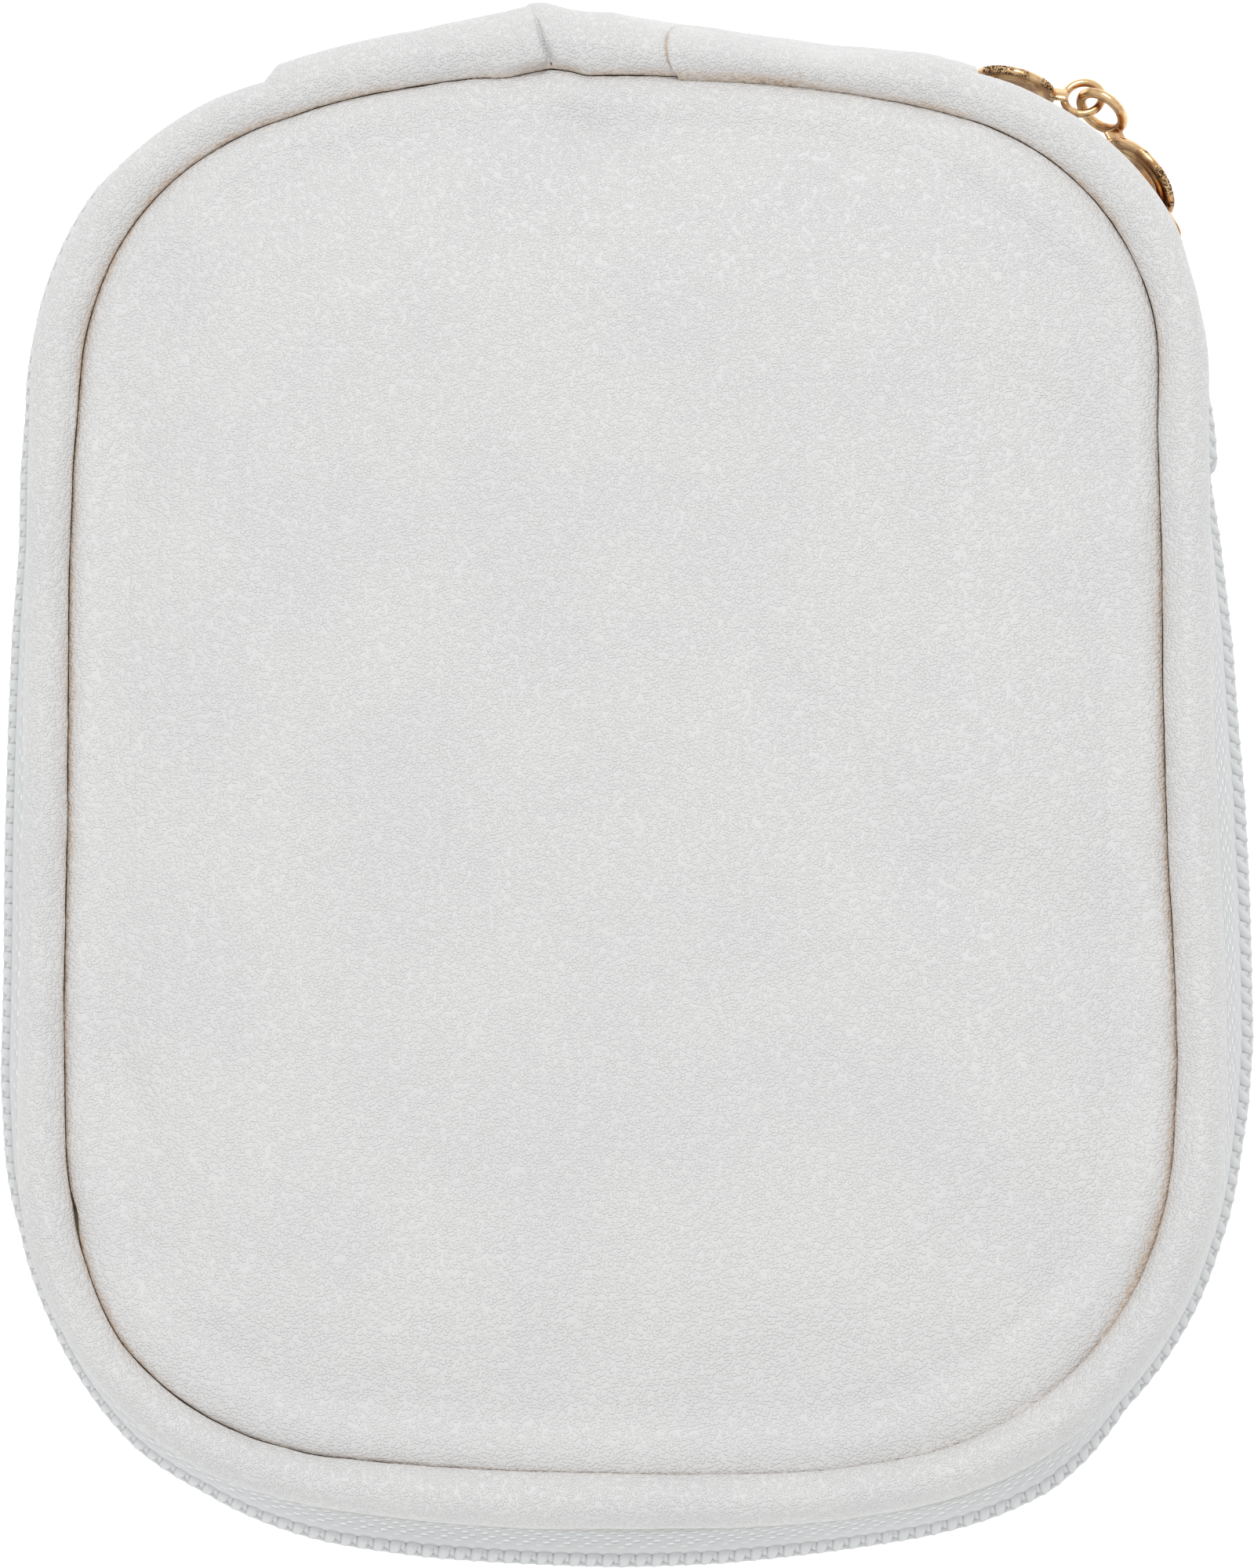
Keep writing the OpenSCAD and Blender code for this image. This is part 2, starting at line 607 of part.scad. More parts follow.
// The bridge that the pull turns on: an arch on two feet
module slider_bridge() {
    top = bridge_h + bridge_t - bridge_r;
    end = bridge_l / 2 - bridge_r;
    hole = bridge_l - 2 * bridge_foot_t;
    color(GOLD) at_slider() translate([plate_out, 0, -bridge_w / 2]) linear_extrude(bridge_w) {
        difference() {
            polygon(concat([[0, bridge_l / 2], [0, -bridge_l / 2]],
                [for (a = [-90 : FAN_STEP : 0]) [top, -end] + bridge_r * [cos(a), sin(a)]],
                [for (a = [0 : FAN_STEP : 90]) [top, end] + bridge_r * [cos(a), sin(a)]]));
            translate([-cut, -hole / 2]) square([cut + bridge_h, hole]);
        }
    }
}

// A round blade with a raised border, lying in the Y-Z plane
module blade(r) {
    rotate([0, 90, 0]) difference() {
        cylinder(r = r, h = blade_t, center = true, $fn = 48);
        for (side = [-1, 1]) translate([0, 0, side * (blade_t - blade_hollow / 2)])
            cylinder(r = r - blade_border, h = blade_t, center = true, $fn = 48);
    }
}

// Frame at the bridge: along the link, turned about the upright pin line
module at_link() {
    at_slider() translate([pivot_n, 0, 0]) rotate([0, 0, -link_off]) children();
}

// The link: a loop round the bridge, a round blade and an eye in one piece
module pull_link() {
    loop_l = loop_hole_l + 2 * loop_t;
    blade_y = link_l - link_eye_r - link_wire_r - link_blade_r + blade_border;
    color(GOLD) at_link() rotate([0, link_lean, 0]) {
        difference() {
            translate([-loop_t / 2, -loop_t / 2, -loop_half_w]) cube([loop_t, loop_l, 2 * loop_half_w]);
            translate([-loop_t, loop_t / 2, -loop_half_w + loop_t])
                cube([2 * loop_t, loop_hole_l, 2 * (loop_half_w - loop_t)]);
        }
        difference() {
            translate([0, blade_y, 0]) blade(link_blade_r);
            translate([-blade_t, 0, -loop_half_w + loop_t])
                cube([2 * blade_t, loop_t / 2 + loop_hole_l, 2 * (loop_half_w - loop_t)]);
        }
        translate([0, link_l, 0]) rotate([0, 90, 0]) rotate_extrude() translate([link_eye_r, 0])
            circle(link_wire_r, $fn = 16);
    }
}

// The pendant: a round blade with a quarter-turned eye linked through the link's eye
module pull_pendant() {
    bar_l = pendant_l - pendant_blade_r - pendant_eye_r + blade_border / 2;
    color(GOLD) at_link() translate([0, link_l + link_eye_r - eye_slack, 0])
        rotate([0, 0, pendant_bend]) rotate([0, pendant_lean, 0]) {
            rotate_extrude() translate([pendant_eye_r, 0]) circle(pendant_wire_r, $fn = 16);
            translate([-blade_t / 2, pendant_eye_r, -pendant_wire_r])
                cube([blade_t, bar_l, 2 * pendant_wire_r]);
            translate([0, pendant_l, 0]) blade(pendant_blade_r);
        }
}

// Metal clamp that ends a coil just past the closed slider
module top_stop(side) {
    color(GOLD) at_slider() mirror([0, 0, side > 0 ? 0 : 1])
        translate([tooth_seat, stop_y, mesh_gap / 2]) cube([stop_t, stop_l, (chain_w - mesh_gap) / 2]);
}

module lid_top_stop() { top_stop(1); }
module base_top_stop() { top_stop(-1); }

lid_panel();
lid_foam();
lid_board();
lid_frame();
lid_rim_filler();
lid_band();
lid_zip_tape();
lid_zip_coil();
lid_lining();
lid_pocket();
lid_pocket_elastic();
lid_hinge_leaf();
base_hinge_leaf();
base_band();
base_frame();
base_board();
base_panel();
base_zip_tape();
base_zip_coil();
base_lining();
cross_divider();
long_divider();
short_divider();
ring_roll(1);  // ring_roll_1
ring_roll(2);  // ring_roll_2
ring_roll(3);  // ring_roll_3
ring_roll(4);  // ring_roll_4
ring_roll(5);  // ring_roll_5
slider_body();
slider_bridge();
pull_link();
pull_pendant();
lid_top_stop();
base_top_stop();
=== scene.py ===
from contextlib import contextmanager
from functools import partial
import json
import math
import bpy
import bmesh
import numpy as np
from mathutils import Matrix, Vector, noise


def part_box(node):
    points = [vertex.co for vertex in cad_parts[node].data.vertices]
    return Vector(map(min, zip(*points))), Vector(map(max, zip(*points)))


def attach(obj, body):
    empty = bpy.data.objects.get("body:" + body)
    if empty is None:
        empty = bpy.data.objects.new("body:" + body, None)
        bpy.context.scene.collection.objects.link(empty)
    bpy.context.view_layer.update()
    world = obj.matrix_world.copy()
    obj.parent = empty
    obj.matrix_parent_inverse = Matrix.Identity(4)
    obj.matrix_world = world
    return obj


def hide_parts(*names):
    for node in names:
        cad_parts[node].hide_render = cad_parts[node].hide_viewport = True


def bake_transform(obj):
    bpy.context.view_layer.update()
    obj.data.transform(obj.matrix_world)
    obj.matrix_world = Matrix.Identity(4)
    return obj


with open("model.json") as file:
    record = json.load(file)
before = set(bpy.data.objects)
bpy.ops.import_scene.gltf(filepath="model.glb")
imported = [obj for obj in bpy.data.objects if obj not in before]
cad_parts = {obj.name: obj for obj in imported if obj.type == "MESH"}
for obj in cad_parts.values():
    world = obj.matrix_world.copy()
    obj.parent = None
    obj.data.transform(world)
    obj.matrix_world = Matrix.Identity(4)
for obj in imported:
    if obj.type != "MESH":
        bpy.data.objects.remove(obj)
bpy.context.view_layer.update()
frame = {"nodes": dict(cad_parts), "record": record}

mm = 0.001
joints = {j["name"]: j for j in frame["record"]["behaviour"]["joints"]}
print("frame loaded")


# small tools

def addObject(name, data):
    made = bpy.data.objects.new(name, data)
    bpy.context.scene.collection.objects.link(made)
    return made


def newPiece(name, points, faces):
    mesh = bpy.data.meshes.new(name)
    mesh.from_pydata([tuple(map(float, p)) for p in points], [], faces)
    mesh.validate()
    mesh.shade_smooth()
    return addObject(name, mesh)


def gridFaces(rows, columns, loopRows=False, loopColumns=False):
    # quads of a grid of points, row after row
    faces = []
    for i in range(rows if loopRows else rows - 1):
        for j in range(columns if loopColumns else columns - 1):
            a, b = i * columns + j, i * columns + (j + 1) % columns
            c = ((i + 1) % rows) * columns
            faces.append((a, c + j, c + (j + 1) % columns, b))
    return faces


def finishModifiers(piece):
    # the modifiers' result becomes the piece's own mesh
    bpy.context.view_layer.update()
    graph = bpy.context.evaluated_depsgraph_get()
    made = bpy.data.meshes.new_from_object(piece.evaluated_get(graph))
    piece.modifiers.clear()
    piece.data = made
    return piece


def thicken(piece, thickness, cutMaterial=0):
    # a sheet gets its thickness inwards; its cut edges can take the next material
    wall = piece.modifiers.new("wall", "SOLIDIFY")
    wall.thickness, wall.offset, wall.material_offset_rim = thickness, -1, cutMaterial
    finishModifiers(piece)
    piece.data.shade_smooth()


def subdivide(piece):
    finer = piece.modifiers.new("finer", "SUBSURF")
    finer.levels = finer.render_levels = 1
    finishModifiers(piece)


def puff(piece, start, held, frames, cap, **options):
    # cloth under pressure: held points stay, and no point ends further than cap from its start
    piece.vertex_groups.new(name="held").add(held, 1.0, "REPLACE")
    cloth = piece.modifiers.new("stuffing", "CLOTH")
    cloth.settings.use_pressure = True
    cloth.settings.effector_weights.gravity = 0
    cloth.settings.vertex_group_mass = "held"
    for key, value in options.items():
        setattr(cloth.settings, key, value)
    cloth.point_cache.frame_start, cloth.point_cache.frame_end = 1, frames
    for frameNumber in range(1, frames + 1):
        bpy.context.scene.frame_set(frameNumber)
    finishModifiers(piece)
    bpy.context.scene.frame_set(1)
    shift = vertexPlaces(piece) - start
    size = np.linalg.norm(shift, axis=1, keepdims=True)
    moveVertices(piece, start + shift * np.minimum(1, cap / np.maximum(size, 1e-9)))
    print("cloth moved", piece.name, "by up to", round(float(size.max()) / mm, 2), "mm")


@contextmanager
def meshWork(piece):
    # the piece's mesh, opened for editing
    work = bmesh.new()
    work.from_mesh(piece.data)
    yield work
    work.to_mesh(piece.data)
    work.free()


def outward(piece):
    with meshWork(piece) as work:
        bmesh.ops.remove_doubles(work, verts=work.verts, dist=0.0005 * mm)
        bmesh.ops.recalc_face_normals(work, faces=work.faces)
    piece.data.shade_smooth()


def dress(piece, material, slotName, *others):
    piece.data.materials.clear()
    for each in (material,) + others:
        piece.data.materials.append(each)


def seat(piece, body, *nodes):
    # the finished piece rides on its body and stands for these CAD nodes
    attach(piece, body)
    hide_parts(*nodes)
    return piece


def paint(piece, name, values):
    layer = piece.data.attributes.new(name, "FLOAT", "POINT")
    layer.data.foreach_set("value", np.asarray(values, np.float32))


def layUv(piece, coordinates):
    # one u, v in metres for every vertex
    layer = piece.data.uv_layers.new(name="cloth")
    corners = np.empty(len(piece.data.loops), np.int32)
    piece.data.loops.foreach_get("vertex_index", corners)
    layer.data.foreach_set("uv", np.asarray(coordinates, np.float32)[corners].ravel())


def vertexPlaces(piece):
    places = np.empty(len(piece.data.vertices) * 3)
    piece.data.vertices.foreach_get("co", places)
    return places.reshape(-1, 3)


def moveVertices(piece, places):
    piece.data.vertices.foreach_set("co", np.asarray(places, np.float32).ravel())
    piece.data.update()


def ease(x, low=0.0, high=1.0):
    t = np.clip((np.asarray(x, float) - low) / (high - low), 0, 1)
    return t * t * (3 - 2 * t)


def noiseAt(places):
    return np.array([noise.noise(Vector(p)) for p in places])


def noiseTable(rows, columns, depth):
    # noise for every row and column coordinate
    return np.array([noiseAt([(a, b, depth) for b in columns]) for a in rows])


def ripple(run, seed, size):
    # soft noise along a line, from -1 to 1
    return noiseAt([(r / size, seed * 7.3, seed * 1.7) for r in np.atleast_1d(run)])


# the case's outline

outlineSizes = {"backCorner": 21.5 * mm, "frontCorner": 23.9 * mm, "backBow": 99 * mm,
                "frontBow": 191 * mm, "seamGap": 0.1 * mm}


def traceSeam():
    # the line where the rim meets the panel, anticlockwise from the middle of the hinge side
    o = outlineSizes
    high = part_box("lid_panel")[1]
    halfW, halfD = high[0] + o["seamGap"], high[1] + o["seamGap"]

    def reach(bow, corner):
        return math.sqrt((bow - corner) ** 2 - (halfW - corner) ** 2)

    backX, frontX = halfW - o["backCorner"], halfW - o["frontCorner"]
    backBowY, frontBowY = halfD - o["backBow"], o["frontBow"] - halfD
    backY = backBowY + reach(o["backBow"], o["backCorner"])
    frontY = frontBowY - reach(o["frontBow"], o["frontCorner"])
    backA = math.atan2(backY - backBowY, backX)
    frontA = math.atan2(frontBowY - frontY, frontX)
    full, half, quarter = 2 * math.pi, math.pi, math.pi / 2
    arcs = [(0, backBowY, o["backBow"], quarter, half - backA),
            (-backX, backY, o["backCorner"], half - backA, half),
            (-frontX, frontY, o["frontCorner"], half, half + frontA),
            (0, frontBowY, o["frontBow"], half + frontA, full - frontA),
            (frontX, frontY, o["frontCorner"], full - frontA, full),
            (backX, backY, o["backCorner"], full, full + backA),
            (0, backBowY, o["backBow"], full + backA, full + quarter)]
    points, normals = [], []
    for x, y, radius, first, last in arcs:
        turn = np.linspace(first, last, 300)
        normals.append(np.stack([np.cos(turn), np.sin(turn)], 1))
        points.append(np.array([x, y]) + radius * normals[-1])
    points, normals = np.concatenate(points), np.concatenate(normals)
    steps = np.linalg.norm(np.diff(points, axis=0), axis=1)
    return {"point": points, "normal": normals, "run": np.concatenate([[0], np.cumsum(steps)]),
            "length": steps.sum(), "halfW": halfW, "halfD": halfD}


seam = traceSeam()


def seamNormal(run):
    run = np.mod(run, seam["length"])
    n = np.stack([np.interp(run, seam["run"], seam["normal"][:, k]) for k in (0, 1)], -1)
    return n / np.linalg.norm(n, axis=-1, keepdims=True)


def seamAt(run, out=0.0):
    # points beside the seam, out metres outwards
    place = np.mod(run, seam["length"])
    p = np.stack([np.interp(place, seam["run"], seam["point"][:, k]) for k in (0, 1)], -1)
    return p + np.asarray(out)[..., None] * seamNormal(run)


def evenRuns(first, last, step):
    return np.linspace(first, last, max(2, int(round((last - first) / step)) + 1))


def sweepGrid(runs, outs, heights):
    # outs and heights are tables of one row per run and one column per profile point
    flat = seamAt(np.repeat(runs[:, None], outs.shape[1], 1), outs)
    return np.concatenate([flat, heights[..., None]], -1)


# heights that the pieces share, read from the frame
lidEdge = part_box("lid_band")[0][2]
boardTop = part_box("lid_panel")[0][2]
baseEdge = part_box("base_band")[1][2]
chainHeight = joints["lid_hinge"]["pos_m"][2]
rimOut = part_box("lid_band")[1][0] - seam["halfW"]
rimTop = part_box("lid_band")[1][2]
print("seam length", round(seam["length"] / mm, 1), "mm")


# materials

def newMaterial(name, values):
    material = bpy.data.materials.new(name)
    material.use_nodes = True
    shader = material.node_tree.nodes["Principled BSDF"]
    for key, value in values.items():
        shader.inputs[key].default_value = value
    return material, shader


def wire(owner, kind, sockets=(), **settings):
    # a new node in a material or a node tree; sockets are set or linked, by name or number
    tree = getattr(owner, "node_tree", owner)
    node = tree.nodes.new(kind)
    for key, value in settings.items():
        setattr(node, key, value)
    for key, value in dict(sockets).items():
        if isinstance(value, bpy.types.NodeSocket):
            tree.links.new(value, node.inputs[key])
        else:
            node.inputs[key].default_value = value
    return node


def mathNode(owner, operation, a, b=0.0, c=0.0):
    return wire(owner, "ShaderNodeMath", {0: a, 1: b, 2: c}, operation=operation).outputs[0]


def vectorNode(owner, operation, a, b):
    return wire(owner, "ShaderNodeVectorMath", {0: a, 1: b}, operation=operation).outputs[0]


def mixColour(material, amount, a, b):
    return wire(material, "ShaderNodeMix", {0: amount, 6: a, 7: b}, data_type="RGBA").outputs[2]


def mapRange(material, value, low, high, newLow=0.0, newHigh=1.0):
    sockets = {0: value, 1: low, 2: high, 3: newLow, 4: newHigh}
    return wire(material, "ShaderNodeMapRange", sockets, interpolation_type="SMOOTHSTEP").outputs[0]


def objectPlace(material):
    return wire(material, "ShaderNodeTexCoord").outputs["Object"]


def clouds(material, place, scale, detail):
    return wire(material, "ShaderNodeTexNoise", {"Vector": place, "Scale": scale, "Detail": detail}).outputs


def painted(material, name):
    return wire(material, "ShaderNodeAttribute", attribute_name=name).outputs["Fac"]


def darkened(colour, share):
    return tuple(share * c for c in colour[:3]) + (1,)


def surface(material, shader, colour, heights):
    # the colour and the bumps go to the shader; heights are (socket, depth in metres), coarse to fine
    links, normal = material.node_tree.links, None
    for height, depth in heights:
        sockets = {"Height": height, "Distance": depth, "Strength": 1.0}
        if normal is not None:
            sockets["Normal"] = normal
        normal = wire(material, "ShaderNodeBump", sockets).outputs[0]
    links.new(normal, shader.inputs["Normal"])
    if colour is not None:
        links.new(colour, shader.inputs["Base Color"])
    return material


# painted shade: the crease grey darkens the grain's creases
# painted shade: the olive grey darkens the rim's wall towards the tape
leatherLook = {"colour": (0.738, 0.734, 0.730, 1), "shade": (0.713, 0.712, 0.710, 1),
               "stain": (0.58, 0.46, 0.36, 1), "grit": (0.15, 0.10, 0.07, 1), "crease": (0.56, 0.56, 0.57, 1),
               "rimWallShade": (0.50, 0.505, 0.485, 1), "pebble": 0.225 * mm, "depth": 0.068 * mm, "roughness": 0.5,
               "specular": 0.4, "drift": 0.45, "creased": 0.10}


def leather(name, pebble=1.0, turn=0.0, stretch=1.35):
    # pebbles parted by fine creases, drawn out along one direction
    look = leatherLook
    material, shader = newMaterial(name, {"Roughness": look["roughness"],
                                          "Specular IOR Level": look["specular"]})
    ramp, mix = partial(mapRange, material), partial(mixColour, material)
    place = objectPlace(material)
    size = look["pebble"] * pebble
    wave = clouds(material, place, 0.6 / size, 2.0)["Color"]
    drift = vectorNode(material, "MULTIPLY", wave, (look["drift"] * size,) * 3)
    moved = vectorNode(material, "ADD", place, drift)
    laid = wire(material, "ShaderNodeMapping", {"Vector": moved, "Rotation": (0, 0, turn),
                                                "Scale": (1 / stretch, 1, 1)}).outputs[0]
    cells = wire(material, "ShaderNodeTexVoronoi", {"Vector": laid, "Scale": 1 / size, "Randomness": 0.95})
    away = cells.outputs["Distance"]
    height = ramp(mathNode(material, "MULTIPLY", away, away), 0.0, 0.46, 1.0, 0.0)
    broad = clouds(material, place, 90.0, 3.0)["Fac"]
    colour = mix(ramp(broad, 0.3, 0.7), look["colour"], look["shade"])
    # painted shade: the grain's creases are darkened towards the crease grey
    creaseShade = mathNode(material, "MULTIPLY", ramp(height, 0.0, 0.5, 1.0, 0.0), look["creased"])
    colour = mix(creaseShade, colour, look["crease"])
    # painted shade: grey where the rim's wall is marked
    colour = mix(painted(material, "rimWallShade"), colour, look["rimWallShade"])
    patch = clouds(material, place, 2400.0, 4.0)["Fac"]
    mottled = mathNode(material, "MULTIPLY", painted(material, "stain"), ramp(patch, 0.3, 0.7, 0.6, 1.2))
    colour = mix(ramp(mottled, 0.0, 0.9, 0.0, 0.9), colour, look["stain"])
    colour = mix(ramp(mottled, 0.8, 1.2), colour, look["grit"])
    return surface(material, shader, colour, [(height, look["depth"])])


def rawEdge(name):
    # the cut edge of the leather: tan fibres
    material, shader = newMaterial(name, {"Roughness": 0.9})
    fibres = clouds(material, objectPlace(material), 3500.0, 4.0)["Fac"]
    shade = mapRange(material, fibres, 0.35, 0.65)
    colour = mixColour(material, shade, (0.42, 0.30, 0.22, 1), (0.78, 0.69, 0.60, 1))
    return surface(material, shader, colour, [(fibres, 0.06 * mm)])


weaveLook = {"period": 1.54 * mm, "row": 0.32 * mm, "shift": 0.36, "turnRows": 5.0, "end": 7.1 * mm,
             "colour": (0.625, 0.64, 0.645, 1), "thread": (0.93, 0.95, 0.96, 1),
             "tapeGrooveShade": (0.46, 0.46, 0.42, 1), "sway": (0.28 * mm, 0.16 * mm, 0)}


def wovenTape(name):
    # herringbone: short fat threads in rows that step one way, then back
    w = weaveLook
    material, shader = newMaterial(name, {"Roughness": 0.55, "Sheen Weight": 0.2})
    do, ramp = partial(mathNode, material), partial(mapRange, material)
    laid = wire(material, "ShaderNodeUVMap", uv_map="cloth").outputs[0]
    place = objectPlace(material)
    sway = vectorNode(material, "MULTIPLY", clouds(material, place, 700.0, 2.0)["Color"], w["sway"])
    parts = wire(material, "ShaderNodeSeparateXYZ", {0: vectorNode(material, "ADD", laid, sway)}).outputs
    along, across = parts[0], parts[1]
    rows = do("DIVIDE", across, w["row"])
    zigzag = do("PINGPONG", do("FLOOR", rows), w["turnRows"])
    pitch = do("DIVIDE", along, w["period"])
    inDash = do("FRACT", do("MULTIPLY_ADD", zigzag, w["shift"], pitch))
    inRow = do("FRACT", do("MULTIPLY_ADD", inDash, 0.45, rows))
    lengthShape = do("SINE", do("MULTIPLY", inDash, math.pi))
    rowShape = do("SINE", do("MULTIPLY", inRow, math.pi))
    thread = do("MULTIPLY", ramp(lengthShape, 0.78, 0.98), ramp(rowShape, 0.2, 0.8))
    # plain where the tape bulges over the coil
    thread = do("MULTIPLY", thread, ramp(across, w["end"] - 0.3 * mm, w["end"] + 0.3 * mm, 1.0, 0.12))
    plies = clouds(material, place, 5200.0, 2.0)["Fac"]
    bright = do("MULTIPLY", thread, ramp(plies, 0.3, 0.7, 0.6, 1.0))
    colour = mixColour(material, bright, w["colour"], w["thread"])
    # painted shade of the groove where the tape comes out from under the leather
    colour = mixColour(material, ramp(across, 4.9 * mm, 5.9 * mm, 0.75, 0.0), colour, w["tapeGrooveShade"])
    return surface(material, shader, colour, [(thread, 0.06 * mm), (plies, 0.02 * mm)])


def nylon(name):
    # the grey base colour is painted shade: a white nylon coil in shade under the tape
    material, shader = newMaterial(name, {"Roughness": 0.45, "Base Color": (0.62, 0.635, 0.64, 1),
                                          "Subsurface Weight": 0.25, "Subsurface Scale": 1.0,
                                          "Subsurface Radius": (0.0006, 0.0006, 0.0006)})
    scuff = clouds(material, objectPlace(material), 4000.0, 2.0)["Fac"]
    return surface(material, shader, None, [(scuff, 0.008 * mm)])


goldLook = {"bright": (0.90, 0.61, 0.33, 1), "deep": (0.33, 0.14, 0.045, 1), "worn": (0.05, 0.03, 0.015, 1)}


def wornGold(name):
    # polished plate, pitted and dark where the attribute "wear" is painted
    g = goldLook
    material, shader = newMaterial(name, {"Metallic": 1.0})
    do, ramp, mix = partial(mathNode, material), partial(mapRange, material), partial(mixColour, material)
    place = objectPlace(material)
    cloud, pits = clouds(material, place, 700.0, 3.0)["Fac"], clouds(material, place, 7000.0, 3.0)["Fac"]
    wear, hollow = painted(material, "wear"), painted(material, "hollow")
    colour = mix(ramp(cloud, 0.42, 0.66, 0.0, 0.7), g["bright"], g["deep"])
    # painted shade in the coin's groove and middle
    colour = mix(do("MULTIPLY", hollow, 0.6), colour, g["deep"])
    # painted shade: darkest where faces look at each other
    facingShade = wire(material, "ShaderNodeAmbientOcclusion", {"Distance": 1.6 * mm}, samples=8).outputs["AO"]
    colour = mix(ramp(facingShade, 0.45, 1.0, 0.95, 0.0), colour, g["deep"])
    speck = do("MULTIPLY", wear, ramp(pits, 0.42, 0.56))
    colour = mix(speck, colour, g["worn"])
    rough = do("MULTIPLY_ADD", speck, 0.3, ramp(cloud, 0.3, 0.7, 0.14, 0.26))
    material.node_tree.links.new(rough, shader.inputs["Roughness"])
    return surface(material, shader, colour, [(cloud, 0.02 * mm), (do("MULTIPLY", wear, pits), 0.05 * mm)])


def velvet(name, colour=(0.66, 0.62, 0.57, 1)):
    material, shader = newMaterial(name, {"Roughness": 0.95, "Sheen Weight": 0.6, "Sheen Roughness": 0.4})
    place = objectPlace(material)
    pile, brushed = clouds(material, place, 6000.0, 2.0)["Fac"], clouds(material, place, 160.0, 3.0)["Fac"]
    shade = mapRange(material, brushed, 0.35, 0.65, 0.0, 0.6)
    tint = mixColour(material, shade, colour, darkened(colour, 0.82))
    return surface(material, shader, tint, [(brushed, 0.15 * mm), (pile, 0.05 * mm)])


def fibreBoard(name, colour):
    material, shader = newMaterial(name, {"Roughness": 0.9})
    specks = clouds(material, objectPlace(material), 2200.0, 5.0)["Fac"]
    tint = mixColour(material, mapRange(material, specks, 0.35, 0.7), colour, darkened(colour, 0.7))
    return surface(material, shader, tint, [(specks, 0.05 * mm)])


panelLeather = leather("panelLeather", turn=0.35)
rimLeather = leather("rimLeather", pebble=0.95, turn=1.2, stretch=1.25)
baseLeather = leather("baseLeather", pebble=1.0, turn=0.2)
cutEdge = rawEdge("cutEdge")
tapeWeave = wovenTape("tapeWeave")
coilNylon = nylon("coilNylon")
pullGold = wornGold("pullGold")
trayVelvet = velvet("trayVelvet")
greyBoard = fibreBoard("greyBoard", (0.52, 0.42, 0.30, 1))
paleFoam = fibreBoard("paleFoam", (0.86, 0.80, 0.62, 1))
print("materials made")


# the lid's rim and the hinge leather

rimSizes = {"crestRise": 2.5 * mm, "centreOut": 2.15 * mm, "centreHigh": 42.4 * mm, "halfWide": 2.05 * mm,
            "edgeHigh": 43.75 * mm, "leather": 0.8 * mm, "step": 0.5 * mm,
            "tabLeft": 26.3 * mm, "tabRight": 27.2 * mm, "tabLap": 5.2 * mm,
            "tabBottom": 22.8 * mm, "tabEase": 0.6 * mm, "tabHug": 4.7 * mm,
            "foldRun": 6.3 * mm, "foldLift": 0.75 * mm, "tongueRun": -5.6 * mm, "tongueLift": 0.35 * mm,
            # the tongue's edge: how far along it bends the rim, its curve across in mm, and its fade
            "tongueReach": 3.0 * mm, "tongueBend": (0.5, 5.2, -7.1), "tongueFade": 9 * mm,
            "uneven": 0.14 * mm, "fine": 0.05 * mm}

# how far the hand-turned rim wanders: run along the seam from the middle of the hinge side, place
# of its inner edge, and its width outside the seam; all mm
rimWander = [(0, -0.5, 4.2), (2, -0.46, 4.3), (3.5, 0, 4.48), (4.8, 0.25, 4.64), (6, 0.1, 4.56),
             (8, -0.16, 4.37), (9.2, -0.12, 4.36), (10, 0.06, 4.35), (12, 0.1, 4.33), (15, 0.1, 4.16),
             (20, 0.18, 4.25), (23, 0.1, 4.14), (25.6, -0.07, 4.05), (26.3, -0.1, 3.4), (30, -0.3, 3.44),
             (40, -0.6, 3.46), (48, -0.9, 3.2), (54, -0.88, 3.28), (62, -0.35, 3.32), (70, -0.15, 3.3),
             (80, -0.2, 3.38), (90, -0.24, 3.48), (103, -0.12, 3.58), (113, -0.35, 3.52),
             (119, -0.62, 3.46), (124, -0.3, 3.62), (130, 0.25, 3.7), (136, 0.1, 3.8), (145, -0.25, 3.52),
             (151, -0.3, 3.74), (160, -0.28, 3.88), (170, -0.3, 3.96), (180, 0, 4.02), (186, 0.2, 3.98),
             (192, -0.1, 3.72), (200, -0.35, 3.46), (210, -0.36, 3.34), (220, -0.28, 3.62),
             (226, 0.05, 3.92), (233, 0.45, 4.22), (240, 0.3, 4.16), (248, -0.1, 3.86), (256, -0.28, 3.54),
             (262, -0.36, 3.52), (270, -0.3, 3.46), (281, -0.54, 3.32), (285.5, -0.43, 3.46),
             (290, -0.32, 3.34), (293, -0.34, 3.5), (296, -0.37, 3.8), (300, -0.42, 3.72),
             (305, -0.46, 3.58), (310, -0.5, 3.46), (313.8, -0.48, 3.2), (314.4, -0.47, 3.3),
             (318, -0.46, 3.2), (322, -0.5, 2.5), (325, -0.55, 1.98), (333, -0.58, 2.54),
             (337, -0.52, 3.2)]

# out and height of the tab between the rim's crest and the base; mm
tabKnots = [(3.4, 44.55), (4.55, 43.2), (5.1, 41.2), (5.55, 38.9), (6.2, 36.3), (6.75, 34.0), (6.9, 32.0),
            (6.75, 30.0), (6.2, 27.7), (5.5, 25.7)]

# small dark pits in the rim: run, how far out from the inner edge, size; all mm
rimSpecks = [(4.8, 0.22, 0.17), (4.1, 0.5, 0.08), (-5.6, 0.85, 0.12), (-5.9, 1.1, 0.07), (10.4, 0.6, 0.07),
             (-13.4, 0.55, 0.08), (-14.6, 0.6, 0.09), (-16.2, 0.5, 0.07), (24.0, 0.8, 0.06),
             (31.5, 1.2, 0.07)]


def flatRun(run):
    # signed distance along the seam from the middle of the hinge side, positive to the left
    return np.mod(np.asarray(run) + seam["length"] / 2, seam["length"]) - seam["length"] / 2


